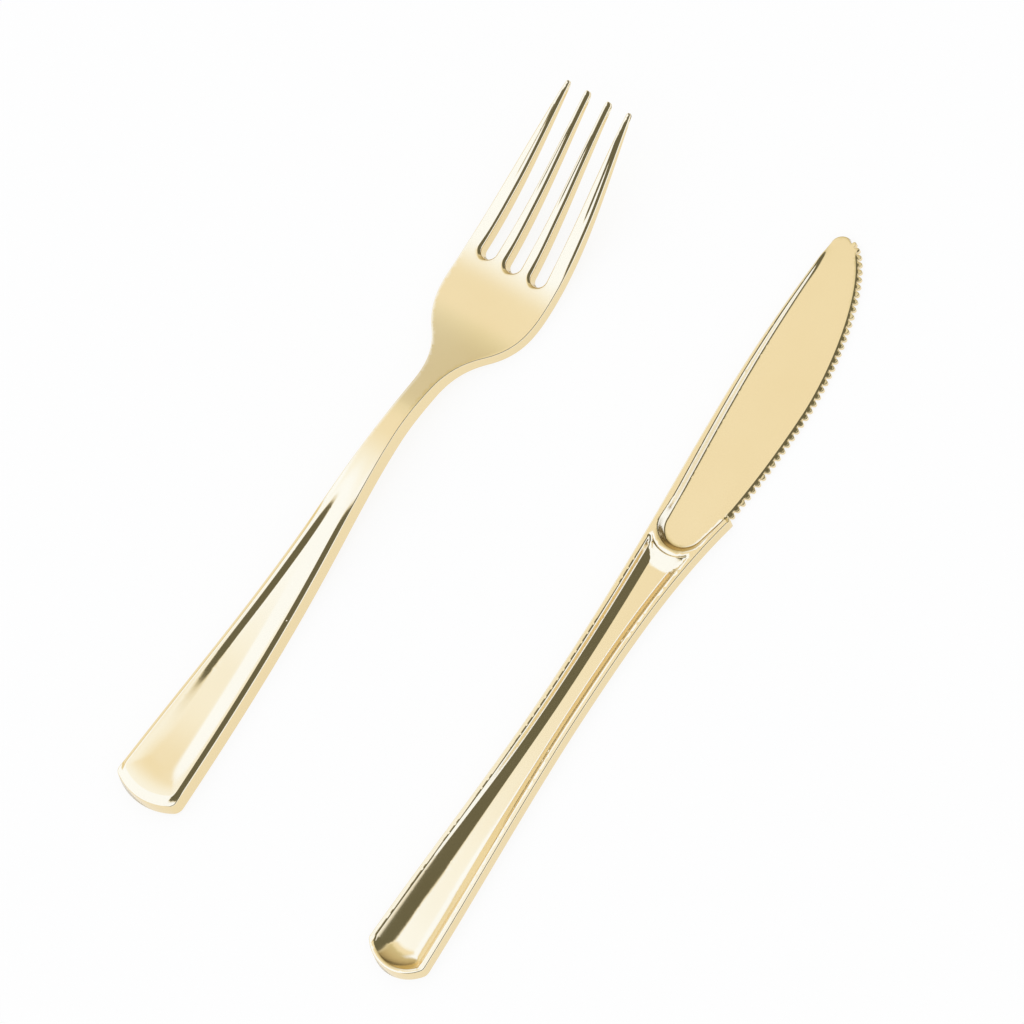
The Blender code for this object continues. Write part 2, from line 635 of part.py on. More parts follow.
def recess_cutter(collection):
    """Everything over the blade's plate, up to the rib along the spine."""
    far = KNIFE_LENGTH + 2 * CUT_ROOM
    y = steps(far, RECESS_CENTRE_Y, HANDLE_STEP)
    foot = np.interp(y, [RECESS_CENTRE_Y, KNIFE_LENGTH], [RECESS_FOOT_HEEL, RECESS_FOOT_NOSE])
    spine = np.column_stack([foot - knife_left(y), y])
    exit_y = KNIFE_HEEL_AT + HEEL_STEP
    centre = np.array([RECESS_CENTRE_X, RECESS_CENTRE_Y])
    way = np.array([RECESS_EXIT_X, exit_y]) - centre
    tangent = math.atan2(way[1], way[0]) - math.acos(RECESS_RADIUS / np.linalg.norm(way))
    turn = np.linspace(math.pi, 2 * math.pi + tangent, 14)
    radius = np.linspace(RECESS_CENTRE_X - spine[-1][0], RECESS_RADIUS, len(turn))
    arc = centre + radius[:, None] * np.column_stack([np.cos(turn), np.sin(turn)])
    reach = KNIFE_EDGE_REACH + 2 * CUT_ROOM
    rest = np.array([(RECESS_EXIT_X, exit_y), (reach, exit_y), (reach, far)])
    plan = np.concatenate([spine[:-1], arc, rest])
    normals = inward(plan)
    room = KNIFE_THICKNESS + CUT_ROOM - PANEL_HEIGHT
    wide = plan - normals * room / math.tan(math.radians(RECESS_WALL))
    rings = [stack(plan, PANEL_HEIGHT), stack(wide, PANEL_HEIGHT + room)]
    return new_cutter("knife_recess", loft("knife_recess", rings, closed=True, capped=True), collection)


def spine_cutter(collection):
    """Wedge that lets the rib along the spine sink towards the nose."""
    y = steps(RECESS_CENTRE_Y, KNIFE_LENGTH + CUT_ROOM, HANDLE_STEP)
    fall = (SPINE_END_HEIGHT - KNIFE_THICKNESS) / (KNIFE_LENGTH - RECESS_CENTRE_Y)
    height = curve(y, [(RECESS_CENTRE_Y, KNIFE_THICKNESS, 0.0), (KNIFE_LENGTH, SPINE_END_HEIGHT, fall)])
    profile = np.column_stack([y[1:], height[1:]])
    high = KNIFE_THICKNESS + CUT_ROOM
    profile = np.concatenate([[(y[0], high)], [(y[0], KNIFE_THICKNESS + 0.01)], profile, [(y[-1], high)]])
    reach = KNIFE_EDGE_REACH + CUT_ROOM
    rings = [np.column_stack([np.full(len(profile), x), profile]) for x in (-reach, reach)]
    return new_cutter("knife_spine", loft("knife_spine", rings, closed=True, capped=True), collection)


def build_knife(parts, cutters):
    """Knife: the blank with its two hollows cut and its spine lowered."""
    knife = knife_blank(parts, gold_plastic("knife_gold"))
    hollow = hollow_cutter(cutters)
    cut(hollow, ridge_cone(cutters))
    cut(knife, hollow)
    cut(knife, spine_cutter(cutters))
    cut(knife, recess_cutter(cutters))
    return knife


# The set

def clear_scene():
    """Remove every object of the scene."""
    for obj in list(bpy.data.objects):
        bpy.data.objects.remove(obj, do_unlink=True)


def new_collection(name):
    """Collection under the scene's own."""
    collection = bpy.data.collections.new(name)
    bpy.context.scene.collection.children.link(collection)
    return collection


def world_points(obj):
    """Corners of an object as it is shown, in the world."""
    bpy.context.view_layer.update()
    shown = obj.evaluated_get(bpy.context.evaluated_depsgraph_get())
    mesh = shown.to_mesh()
    points = np.array([shown.matrix_world @ vertex.co for vertex in mesh.vertices])
    shown.to_mesh_clear()
    return points


def lay_out(fork, knife, collection):
    """Lay the two on the table, side by side, centred over the origin."""
    knife.location = (BUTT_SPACING * MM, -KNIFE_SETBACK * MM, 0.0)
    knife.rotation_euler.z = math.radians(KNIFE_TURN)
    corners = np.concatenate([world_points(fork), world_points(knife)])
    middle = (corners.min(axis=0) + corners.max(axis=0)) / 2
    base = bpy.data.objects.new("set_centre", None)
    collection.objects.link(base)
    base.location = (-middle[0], -middle[1], 0.0)
    for part in (fork, knife):
        part.parent = base
        part.location.z -= world_points(part)[:, 2].min()


def main():
    clear_scene()
    parts = new_collection(SET_NAME)
    cutters = new_collection(SET_NAME + "_cutters")
    fork = build_fork(parts, cutters)
    knife = build_knife(parts, cutters)
    for part in (fork, knife):
        part.data.shade_smooth()
        part.data.set_sharp_from_angle(angle=math.radians(25.0))
    lay_out(fork, knife, parts)


main()
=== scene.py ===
import math

import bmesh
import bpy
import numpy as np
from mathutils import Matrix, Vector
from mathutils.geometry import delaunay_2d_cdt


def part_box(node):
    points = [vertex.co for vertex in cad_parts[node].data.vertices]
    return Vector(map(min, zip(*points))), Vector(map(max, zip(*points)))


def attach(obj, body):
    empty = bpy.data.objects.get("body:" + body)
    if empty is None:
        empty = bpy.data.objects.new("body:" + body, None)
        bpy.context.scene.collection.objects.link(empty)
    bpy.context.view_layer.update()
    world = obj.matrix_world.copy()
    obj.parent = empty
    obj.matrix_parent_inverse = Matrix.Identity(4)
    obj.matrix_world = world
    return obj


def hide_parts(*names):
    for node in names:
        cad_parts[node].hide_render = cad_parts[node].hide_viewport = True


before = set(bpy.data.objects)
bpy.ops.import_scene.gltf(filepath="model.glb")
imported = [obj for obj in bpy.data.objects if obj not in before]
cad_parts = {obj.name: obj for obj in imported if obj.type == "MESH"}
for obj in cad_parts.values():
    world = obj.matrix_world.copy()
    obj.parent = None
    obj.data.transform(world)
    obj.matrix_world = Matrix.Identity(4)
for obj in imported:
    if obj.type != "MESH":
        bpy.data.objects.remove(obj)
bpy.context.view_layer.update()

MM = 0.001

# Lengths are in millimetres and angles in degrees, unless a name says otherwise.
# Each piece is drawn in a frame of its own: butt at the origin, tip towards +Y, top
# towards +Z. x, y and z below are places in that frame.

# Camera: where the photograph was taken from, and the point on the table in its centre
LOOK_AT = (-0.094, 4.683)
CAMERA_DISTANCE = 1214.7
CAMERA_LEAN_X = 27.19      # from straight up, towards +X
CAMERA_LEAN_Y = -9.45      # and towards +Y
CAMERA_ROLL = -36.36       # from +Y up in the picture, towards +X
LENS = 194.36
SENSOR = 36.0

# How the two lie on the table
BUTT_SPACING = 72.7        # from the fork's butt to the knife's
KNIFE_SETBACK = 1.8        # the knife's butt lies this far behind the fork's
KNIFE_TURN = 1.2           # the knife's tip leans this much towards the fork

# Fork, lengths along it
FORK_HANDLE = 105.0        # butt to the narrowest part of the neck
FORK_SHOULDER = 33.0       # neck to the widest part of the head
FORK_PALM = 5.5            # widest part to the roots of the slots
FORK_TINES = 42.0          # roots of the slots to the tips
NECK_RUN_IN = 7.0          # the handle's straight taper ends this far before the neck
SHOULDER_START = 5.5       # the neck starts to widen here, past its narrowest
SHOULDER_MIDDLE = 18.5     # and is half way to the head's width here

# Fork, widths of its top face
FORK_BUTT_WIDTH = 17.0
FORK_BUTT_ARC = 15.5       # radius of the butt's end
FORK_BUTT_CORNER = 1.7     # radius where the end meets the sides
FORK_NECK_WIDTH = 4.8
FORK_HEAD_WIDTH = 26.1
FORK_TIP_SPAN = 18.4       # across the outer tines at their tips

# Fork, side profile: its underside over the table, which it touches at two places
FORK_BUTT_RISE = 0.6
FORK_REST_AT = 36.0        # where the handle touches, from the butt
FORK_ARCH_RISE = 4.5       # top of the arch
ARCH_BEFORE_NECK = 8.0
ARCH_MIDDLE = 0.59         # place of the arch's steepest rise, between touch and top
ARCH_STEEPNESS = 1.8       # its slope there, over the mean slope
BOWL_BEFORE_WIDEST = 5.5   # the head touches from here
BOWL_TOUCH = 3.5           # and over this length
FORK_TIP_RISE = 15.0
TIP_SLOPE = 0.39           # rise of the tines per length, at their tips

# Fork, thickness of its edge and rounding of it
FORK_HANDLE_EDGE = 3.2
FORK_BOWL_EDGE = 2.45
FORK_TIP_EDGE = 1.0
TIP_THINNING = 0.07        # loss of thickness per length, at the tips
FORK_HANDLE_LEAN = 0.21    # lean of the side walls, out to the underside, over their height
FORK_HEAD_LEAN = 0.1
SLOT_LEAN = 0.2            # and of the slots' walls
FORK_TOP_ROUND = 0.3
FORK_FOOT_ROUND = 0.3

# Fork, slots
SLOT_ROOT_WIDTH = 4.15
SLOT_TIP_WIDTH = 4.4
SLOT_ROOT_PITCH = 7.27     # centre to centre
SLOT_TIP_PITCH = 5.95
TINES = 4

# Fork, moulded border of the handle and the panel inside it
BORDER_BEVEL = 1.25        # sloping outer band
BUTT_BEVEL = 2.1           # the same band round the butt
BORDER_RISE = 0.65
BORDER_EASING = 0.16       # share of the band that is rounded at either side
BORDER_LAND = 0.35         # level band inside it
BORDER_FADE = 24.0         # the border runs out over this length
BORDER_END = 14.0          # and ends this far before the neck
INNER_CORNER = 1.9         # radius that the border's inner bands turn with
PLAIN_RISE = 0.25          # the neck and head stand this far over the edge's height
PANEL_SCOOP = [(1.0, 0.0, 0.0), (14.0, 0.6, 0.042), (28.0, 0.8, 0.0)]  # at, depth, slope
PANEL_SLOPE = 1.6          # band on the left over which the panel falls
PANEL_SLOPE_BUTT = 3.8     # the same band at the butt
PANEL_NARROWS = (16.0, 44.0)  # where it goes over from the one to the other
PANEL_EASING = 0.2         # share of it that is rounded at either side
PANEL_SOFT = 2.6           # on the right the panel falls over this many such bands
PANEL_MIDDLE = 0.6         # this near the axis the left side goes over into the right

# Fork, bevels and steps on the tines
TINE_LEFT = (0.30, 0.50)   # width of the bevel along a tine's left edge, at its root and tip
TINE_RIGHT = (0.62, 0.84)  # and along its right edge
ROOT_BEVEL = 0.22          # and how much wider both are round the roots of the slots
ROOT_BEVEL_END = (1.0, 7.0)  # where that runs out, past the roots
TINE_BEVEL_SLOPE = 0.62
TINE_CREASE = 0.05         # rounding where a bevel starts
TINE_BEVEL_REACH = 1.3     # no bevel is wider than this
SLOT_TURN = 1.2            # this near a slot's middle its bevels go over into each other
OUTER_BEVEL_START = (-1.0, 12.0)  # where the head's outer bevels grow, past the roots
GROOVE_WIDTH = 0.5         # step in the tines' tops, that runs out into the right bevel
GROOVE_GAP = 0.5
GROOVE_DEPTH = 0.22
GROOVE_EASING = 0.15
GROOVE_SHARES = (0.75, 0.85, 0.95, 1.05)  # of that depth, from the left tine to the right
GROOVE_START = (0.30, 0.50)  # along the tines, over which the step grows
GROOVE_MERGE = 0.82        # where it reaches the bevel

# Knife, lengths along it
KNIFE_WAIST_AT = 70.5
KNIFE_SHOULDER_AT = 119.5  # where the spine's side widens most
KNIFE_HEEL_AT = 121.1
KNIFE_BELLY_AT = 150.0     # where the blade is widest
KNIFE_SPINE_AT = 163.5     # where the spine stands out most
KNIFE_LENGTH = 189.9

# Knife, widths of its top face
KNIFE_BUTT_WIDTH = 15.2
KNIFE_BUTT_ARC = 9.5
KNIFE_BUTT_CORNER = 1.6
KNIFE_WAIST_WIDTH = 10.0
KNIFE_SHOULDER_REACH = 6.75
SHOULDER_STEEPNESS = 1.64  # slope of the spine's side there, over its mean slope
KNIFE_SPINE_REACH = 8.85   # axis to the spine, at its most
KNIFE_EDGE_REACH = 10.45   # axis to the tooth tips, at their most
KNIFE_HEEL_REACH = 9.3     # axis to the corner where the teeth start
KNIFE_EDGE_START = 8.65    # axis to the first tooth
KNIFE_NOSE_RADIUS = 2.65
KNIFE_NOSE_REACH = -3.9    # axis to the last tooth, on the spine's side
EDGE_CURVE = 1.7           # exponent of the belly's curve: 2 is an ellipse

# Knife, heights over the table and rounding of its edges
KNIFE_THICKNESS = 2.9
PANEL_HEIGHT = 1.3         # top of the blade's plate
SPINE_FALL_FROM = 148.0    # the rib along the spine sinks past here
SPINE_FALL = 0.1           # it has sunk by this there
SPINE_END_HEIGHT = 1.7     # and to this height at the nose
KNIFE_SIDE_DRAFT = 0.15    # the side walls lean out by this, down to the underside
KNIFE_END_DRAFT = 0.55     # and the butt's end by this
KNIFE_TOP_ROUND = 0.3
KNIFE_FOOT_ROUND = 0.25

# Knife, trough of the handle
RIM_WIDTH = 1.2
BUTT_RIM = 1.0             # the rim's width at the butt
WALL_STEEP = 55.0          # upper slope of its walls
WALL_GENTLE = 31.0         # lower slope
STEEP_RUN_BUTT = 0.2       # width of the steep band
STEEP_RUN_NECK = 0.8
GENTLE_RUN_BUTT = 3.4
GENTLE_RUN_NECK = 1.7
STEEP_EASING = 0.1         # share of each band that is rounded at either side
GENTLE_EASING = 0.12
SIDE_SCOOP = 4.5           # near the butt the walls are rounded over this width instead
BUTT_SCOOP = 5.0           # and so is the trough's end
SCOOP_START = 14.0         # the walls go over into their bands from here
SCOOP_END = 60.0           # to here, where the bands have their narrow form
BAND_LOOPS_FROM = 26.0     # lines along the bands start here

# Knife, hollow of the blade and the ridge that parts it from the trough
RECESS_CENTRE = np.array([0.8, 115.7])
RECESS_RADIUS = 4.8        # at the foot of its wall
RECESS_WALL = 67.0         # slope of its wall along the spine
RECESS_WALL_HEEL = 51.0    # and round the plate's end
RECESS_TURN = (-3.0, 8.0)  # where the one goes over into the other, past the centre
RECESS_FILLET = 0.22       # rounding at the wall's foot
RIDGE_OUTER_RADIUS = 7.3
RIDGE_STEP = 0.3           # the ridge falls off with a short step
RIDGE_EASING = 0.2
RECESS_FOOT_HEEL = 2.5     # spine to the foot of the wall, at the handle
RECESS_FOOT_NOSE = 0.55    # and at the nose
RECESS_EXIT_X = 7.6        # where the wall runs out at the heel
RIM_FILLET = 0.12          # hollow where the wall meets the rim
NOSE_START = 176.0         # the rib along the spine sinks into the plate from here
NOSE_END = 187.0
NOSE_SLOPE = 0.2           # to this slope
NOSE_FILLET = 0.5          # with this much more rounding at its foot

# Knife, teeth
HEEL_STEP = 0.8            # the first tooth stands this far past the heel's corner
TOOTH_PITCH = 1.8
TOOTH_LENGTH = 1.35        # along the edge, out of each pitch
TOOTH_DEPTH = 0.9
TOOTH_ROUND = 0.12
TOOTH_TIP_HEIGHT = 0.88
TOOTH_BACK_HEIGHT = 1.12   # where the teeth meet the step up to the plate
TOOTH_STEP = 0.2           # width of that step
TOOTH_FILLET = 0.05
GRIND_WIDTH = 1.3          # tooth tips to the top of the step
TEETH_FADE = (0.93, 0.985)  # along the edge, where the step runs out

# Skin: gold between two shades, with a faint unevenness of the plastic below
GOLD_SHADES = ((0.86, 0.70, 0.41, 1.0), (0.89, 0.74, 0.45, 1.0))
GOLD_ROUGHNESS = (0.10, 0.16)
GOLD_MOTTLE = 60.0         # spots per metre

# Set, in metres: white floor, and a light card overhead
FLOOR_HALF = 1.5
FLOOR_SINK = 0.00002       # keeps the floor clear of the undersides
FLOOR_GREY = 0.95
FLOOR_ROUGHNESS = 0.9
FLOOR_WHITE_SHARE = 0.85   # how much of its look is plain white, for the camera and in the gold
CARD_HEIGHT = 0.8
CARD_HALF = 4.0
CARD_STRENGTH = 2.2

# Light along Y and across X of the card, and past its edge, as (place, colour)
CREAM = (1.12, 1.33, 2.0)
DARK = (0.15, 0.15, 0.115)
CARD_ALONG = [
    (-4.00, CREAM),
    (-0.05, CREAM),
    (0.02, (1.08, 1.20, 1.52)),
    (0.07, (1.03, 1.07, 1.18)),
    (0.12, (0.99, 0.98, 0.95)),
    (0.29, (0.99, 0.97, 0.92)),
    (0.37, (0.88, 0.87, 0.76)),
    (0.50, (0.70, 0.66, 0.50)),
    (1.30, (0.62, 0.55, 0.38)),
    (2.20, (0.50, 0.43, 0.28)),
    (4.00, (0.32, 0.27, 0.17)),
]
CARD_ACROSS = [
    (-4.00, (0.88, 0.82, 0.66)),
    (-3.20, (0.95, 0.93, 0.85)),
    (-2.30, CREAM),
    (-0.60, CREAM),
    (0.08, (0.90, 0.88, 0.78)),
    (0.11, DARK),
    (1.20, DARK),
    (1.35, (1.00, 1.05, 1.20)),
    (2.00, CREAM),
    (4.00, CREAM),
]
HORIZON_ACROSS = [
    (-1.0, (0.88, 0.81, 0.62)),
    (-0.3, (0.86, 0.80, 0.62)),
    (0.3, (1.00, 1.05, 1.20)),
    (0.6, CREAM),
    (1.0, CREAM),
]
HORIZON_ALONG = [
    (0.0, (0.60, 0.54, 0.42)),
    (0.5, (0.34, 0.29, 0.19)),
    (1.0, (0.12, 0.10, 0.06)),
]
LEFT_PART = (-0.75, -0.50)  # X over which the light across gives way to the light along
RIGHT_PART = (-0.05, 0.10)  # and X over which it takes over again
FAR_PART = (0.40, 0.80)     # Y past which the light along holds on the left too
HORIZON_FAR = (0.3, 0.6)    # Y over which the horizon's sides give way to its far end
HORIZON_TOP = (0.2, 0.3)    # Z over which the horizon gives way to a plain sky

# How finely the surfaces are divided
OUTLINE_STEP = 0.8
EDGE_STEP = 0.7            # between points on the lines along the teeth
LONGEST_LINE = 2.4         # points farther apart than this are not joined
END_STEPS = 26
CORNER_STEPS = 12
ROOT_STEPS = 26
TIP_STEPS = 14
TOOTH_STEPS = 14
ROUND_STEPS = 6
RIDGE_STEPS = 40
RECESS_STEPS = 60
FILL_STEP = 0.6
FILL_ROOM = 0.35           # points of the fill keep this far from the lines
SLIDE_ROUNDS = 12
SLIDE_LIMIT = 0.6          # furthest move in a round
TINY = 1e-3                # run over which slopes are measured
ON_LINE = 0.02             # a point this near a level counts as on it
FAR_AWAY = 99.0            # stands for no limit


# Curves and fields

def curve(at, knots):
    """Value on a smooth curve through (place, value, slope) knots, level past its ends."""
    places, values, slopes = np.array(knots, float).T
    at = np.asarray(at, float)
    i = np.clip(np.searchsorted(places, at) - 1, 0, len(places) - 2)
    span = places[i + 1] - places[i]
    t = np.clip((at - places[i]) / span, 0.0, 1.0)
    blend = t * t * (3.0 - 2.0 * t)
    bend = slopes[i] * (1.0 - t) - slopes[i + 1] * t
    return values[i] * (1.0 - blend) + values[i + 1] * blend + span * t * (1.0 - t) * bend


def ease(value, low, high):
    """0 below low, 1 above high, and smooth between them."""
    t = np.clip((value - low) / (high - low), 0.0, 1.0)
    return t * t * (3.0 - 2.0 * t)


def points_at(x, y):
    """Points from their x and y."""
    return np.column_stack([x, y])


def arc_points(centre, radius, turn):
    """Points of an arc, at the angles in turn."""
    return np.array(centre) + radius * points_at(np.cos(turn), np.sin(turn))


def steps(start, end, step):
    """Places from start to end, near step apart."""
    return np.linspace(start, end, max(2, round(abs(end - start) / step) + 1))


def round_min(a, b, radius):
    """The lesser of two distances to two walls, with the corner between them rounded."""
    near = np.hypot(np.maximum(radius - a, 0.0), np.maximum(radius - b, 0.0))
    return np.where((a < radius) & (b < radius), radius - near, np.minimum(a, b))


def soft_min(a, b, reach):
    """The lesser of two heights, with a fillet where they meet."""
    t = np.clip(0.5 + 0.5 * (b - a) / reach, 0.0, 1.0)
    return b * (1.0 - t) + a * t - reach * t * (1.0 - t)


def ramp(t, easing):
    """0 to 1 as t goes from 0 to 1, straight but for an eased part at either end."""
    t = np.asarray(t, float)
    top = 1.0 / (1.0 - easing)
    start = 0.5 * top / easing * np.clip(t, 0.0, easing) ** 2
    middle = top * np.clip(t - easing, 0.0, 1.0 - 2.0 * easing)
    last = np.clip(t - 1.0 + easing, 0.0, easing)
    return start + middle + top * last - 0.5 * top / easing * last ** 2


def butt_end(half_width, arc, corner):
    """Right half of a handle's rounded end, from the axis to where the side starts."""
    corner_x = half_width - corner
    corner_y = arc - math.sqrt((arc - corner) ** 2 - corner_x ** 2)
    turn = math.atan2(corner_x, arc - corner_y)
    points = [(arc * math.sin(a), arc - arc * math.cos(a)) for a in np.linspace(0.0, turn, END_STEPS)]
    for a in np.linspace(turn, math.pi / 2, CORNER_STEPS)[1:]:
        points.append((corner_x + corner * math.sin(a), corner_y - corner * math.cos(a)))
    return np.array(points)


def from_butt(x, y, arc):
    """Distance in from a butt's arc."""
    return arc - np.hypot(x, np.minimum(y - arc, 0.0)) + np.maximum(y - arc, 0.0)


def inward(points):
    """Unit normals of a closed outline that runs counter-clockwise, towards its inside."""
    run = np.roll(points, -1, axis=0) - np.roll(points, 1, axis=0)
    normals = np.stack([-run[:, 1], run[:, 0]], axis=1)
    return normals / np.linalg.norm(normals, axis=1)[:, None]


def slide_to(points, field, level):
    """Points moved across a field to where it has the level given by level(y)."""
    points = np.array(points, float)
    for _ in range(SLIDE_ROUNDS):
        x, y = points.T
        value = field(x, y) - level(y)
        along_x = (field(x + TINY, y) - level(y) - value) / TINY
        along_y = (field(x, y + TINY) - level(y + TINY) - value) / TINY
        square = np.maximum(along_x ** 2 + along_y ** 2, 0.2)
        move = np.clip(value / square, -SLIDE_LIMIT, SLIDE_LIMIT)
        points -= move[:, None] * points_at(along_x, along_y)
    return points


def level_of(height):
    """A level that is the same everywhere."""
    return lambda y: np.full(np.shape(y), height)


# Meshes

def fill_points(outline, loops, step, room):
    """Grid of points inside an outline, with room round the points of the loops."""
    low, high = outline.min(axis=0), outline.max(axis=0)
    xs = np.arange(low[0] + step / 2, high[0], step)
    ys = np.arange(low[1] + step / 2, high[1], step)
    grid = np.stack(np.meshgrid(xs, ys), axis=-1).reshape(-1, 2)
    taken = np.concatenate([outline] + loops)
    cells = {}
    for point in taken:
        cells.setdefault((int(point[0] // room), int(point[1] // room)), []).append(point)
    kept = []
    for point in grid[inside(grid, outline)]:
        column, row = int(point[0] // room), int(point[1] // room)
        near = [p for i in (-1, 0, 1) for j in (-1, 0, 1) for p in cells.get((column + i, row + j), ())]
        if not near or np.min(np.hypot(*(np.array(near) - point).T)) > room:
            kept.append(point)
    return np.array(kept).reshape(-1, 2)


def inside(points, outline):
    """Which points lie inside a closed outline."""
    x, y = points.T
    result = np.zeros(len(points), bool)
    for (x0, y0), (x1, y1) in zip(outline, np.roll(outline, -1, axis=0)):
        if y0 != y1:
            crosses = (y0 > y) != (y1 > y)
            result ^= crosses & (x < x0 + (y - y0) * (x1 - x0) / (y1 - y0))
    return result


def plan_triangles(outline, loops, fill):
    """Triangles over an outline's inside, with edges along the loops."""
    points = [outline] + loops + [fill]
    edges = [(i, (i + 1) % len(outline)) for i in range(len(outline))]
    start = len(outline)
    for loop in loops:
        gaps = np.linalg.norm(np.diff(loop, axis=0), axis=1)
        edges += [(start + i, start + i + 1) for i in range(len(loop) - 1) if gaps[i] < LONGEST_LINE]
        start += len(loop)
    flat = [Vector(p) for p in np.concatenate(points).tolist()]
    corners, _, faces, *_ = delaunay_2d_cdt(flat, edges, [], 0, 1e-6, True)
    plan = np.array([tuple(p) for p in corners])
    faces = np.array([face for face in faces if len(face) == 3])
    return plan, faces[inside(plan[faces].mean(axis=1), outline)].tolist()


def moulding(name, rings, top_loops, top_height, foot_height):
    """Closed skin: a band of rings round the edge, a top over it and an underside below it."""
    bm = bmesh.new()

    def add(points):
        return [bm.verts.new([float(c) * MM for c in p]) for p in points]

    bands = [add(ring) for ring in rings]
    count = len(bands[0])
    for lower, upper in zip(bands, bands[1:]):
        for i in range(count):
            j = (i + 1) % count
            bm.faces.new((lower[i], lower[j], upper[j], upper[i]))
    top_outline, foot_outline = rings[-1][:, :2], rings[0][:, :2]
    for outline, loops, height, upward in ((top_outline, top_loops, top_height, True),
                                           (foot_outline, [], foot_height, False)):
        plan, faces = plan_triangles(outline, loops, fill_points(outline, loops, FILL_STEP, FILL_ROOM))
        verts = add(np.column_stack([plan, height(*plan.T)]))
        for face in faces:
            corners = [verts[i] for i in face]
            a, b, c = (np.array(v.co[:2]) for v in corners[:3])
            turned = (b[0] - a[0]) * (c[1] - a[1]) - (b[1] - a[1]) * (c[0] - a[0]) > 0
            bm.faces.new(corners if turned == upward else corners[::-1])
    bmesh.ops.remove_doubles(bm, verts=bm.verts, dist=2e-6)
    mesh = bpy.data.meshes.new(name)
    bm.to_mesh(mesh)
    bm.free()
    mesh.shade_smooth()
    obj = bpy.data.objects.new(name, mesh)
    bpy.context.scene.collection.objects.link(obj)
    return obj


def edge_rings(outline, normals, draft, top, foot, top_round, foot_round):
    """Rings from the underside, round the foot, up the wall and over the top edge."""
    turn = np.radians(np.linspace(0.0, 90.0, ROUND_STEPS + 1))

    def ring(offset, height):
        plan = outline + normals * offset[:, None]
        return np.column_stack([plan, height(*plan.T)])

    rings = []
    for a in turn[::-1]:
        rings.append(ring(foot_round * (1.0 - math.cos(a)) - draft,
                          lambda x, y: foot(x, y) + foot_round * (1.0 - math.sin(a))))
    for a in turn:
        rings.append(ring(top_round * (1.0 - math.cos(a)),
                          lambda x, y: top(x, y) - top_round * (1.0 - math.sin(a))))
    return rings


# Fork

FORK_WIDEST_AT = FORK_HANDLE + FORK_SHOULDER
FORK_ROOT_AT = FORK_WIDEST_AT + FORK_PALM
FORK_LENGTH = FORK_ROOT_AT + FORK_TINES
FORK_END = butt_end(FORK_BUTT_WIDTH / 2, FORK_BUTT_ARC, FORK_BUTT_CORNER)
FORK_SIDE_START = FORK_END[-1][1]
ROOT_RADIUS = SLOT_ROOT_WIDTH / 2
ROOT_CENTRE_AT = FORK_ROOT_AT + ROOT_RADIUS


def fork_half_width(y):
    """Half the width of the fork's top face."""
    taper_end = FORK_HANDLE - NECK_RUN_IN
    neck = FORK_NECK_WIDTH / 2
    head = FORK_HEAD_WIDTH / 2
    taper = (neck - FORK_BUTT_WIDTH / 2) / (taper_end - FORK_SIDE_START)
    return curve(y, [
        (FORK_SIDE_START, FORK_BUTT_WIDTH / 2, 0.6 * taper),
        (taper_end, neck + 0.15, 0.8 * taper),
        (FORK_HANDLE, neck, 0.0),
        (FORK_HANDLE + SHOULDER_START, neck + 0.1, 0.03),
        (FORK_HANDLE + SHOULDER_MIDDLE, (neck + head) / 2, 3.0 * (head - neck) / FORK_SHOULDER),
        (FORK_WIDEST_AT, head, 0.0),
        (FORK_ROOT_AT + 0.4 * FORK_TINES, 0.26 * FORK_TIP_SPAN / 2 + 0.74 * head, -0.09),
        (FORK_LENGTH, FORK_TIP_SPAN / 2, -0.12),
    ])


def fork_under(y):
    """Height of the fork's underside over the table."""
    arch_at = FORK_HANDLE - ARCH_BEFORE_NECK
    run = arch_at - FORK_REST_AT
    return curve(y, [
        (0.0, FORK_BUTT_RISE, -FORK_BUTT_RISE / FORK_REST_AT),
        (FORK_REST_AT, 0.0, 0.0),
        (FORK_REST_AT + ARCH_MIDDLE * run, FORK_ARCH_RISE / 2, ARCH_STEEPNESS * FORK_ARCH_RISE / run),
        (arch_at, FORK_ARCH_RISE, 0.0),
        (FORK_WIDEST_AT - BOWL_BEFORE_WIDEST, 0.0, 0.0),
        (FORK_WIDEST_AT - BOWL_BEFORE_WIDEST + BOWL_TOUCH, 0.0, 0.0),
        (FORK_LENGTH, FORK_TIP_RISE, TIP_SLOPE),
    ])


def fork_edge(y):
    """Thickness of the fork's edge."""
    thinning = (FORK_BOWL_EDGE - FORK_HANDLE_EDGE) / FORK_SHOULDER
    return curve(y, [
        (FORK_HANDLE, FORK_HANDLE_EDGE, thinning),
        (FORK_WIDEST_AT, FORK_BOWL_EDGE, 0.0),
        (FORK_LENGTH, FORK_TIP_EDGE, -TIP_THINNING),
    ])


def border(y):
    """How much of the handle's moulded border there is: 1 on the handle, 0 from the neck on."""
    end = FORK_HANDLE - BORDER_END
    return curve(y, [(end - BORDER_FADE, 1.0, 0.0), (end, 0.0, 0.0)])


def border_field(x, y):
    """Distance in from the handle's outline, squeezed at the butt, where the bevel is wider."""
    lean = (fork_half_width(y + TINY) - fork_half_width(y)) / TINY
    side = (fork_half_width(y) - np.abs(x)) / np.hypot(1.0, lean)
    butt = from_butt(x, y, FORK_BUTT_ARC) * BORDER_BEVEL / BUTT_BEVEL
    return round_min(side, butt, INNER_CORNER)


def along_tines(y):
    """0 at the roots of the slots, 1 at the tips."""
    return np.clip((y - FORK_ROOT_AT) / FORK_TINES, 0.0, 1.0)


def slot_centre(place, y):
    """Middle of a slot; place is -1, 0 or 1 from left to right."""
    narrowing = (SLOT_TIP_PITCH - SLOT_ROOT_PITCH) * np.sin(along_tines(y) * math.pi / 2)
    return place * (SLOT_ROOT_PITCH + narrowing)


def slot_half(y):
    """Half the width of a slot."""
    return (SLOT_ROOT_WIDTH + (SLOT_TIP_WIDTH - SLOT_ROOT_WIDTH) * along_tines(y)) / 2


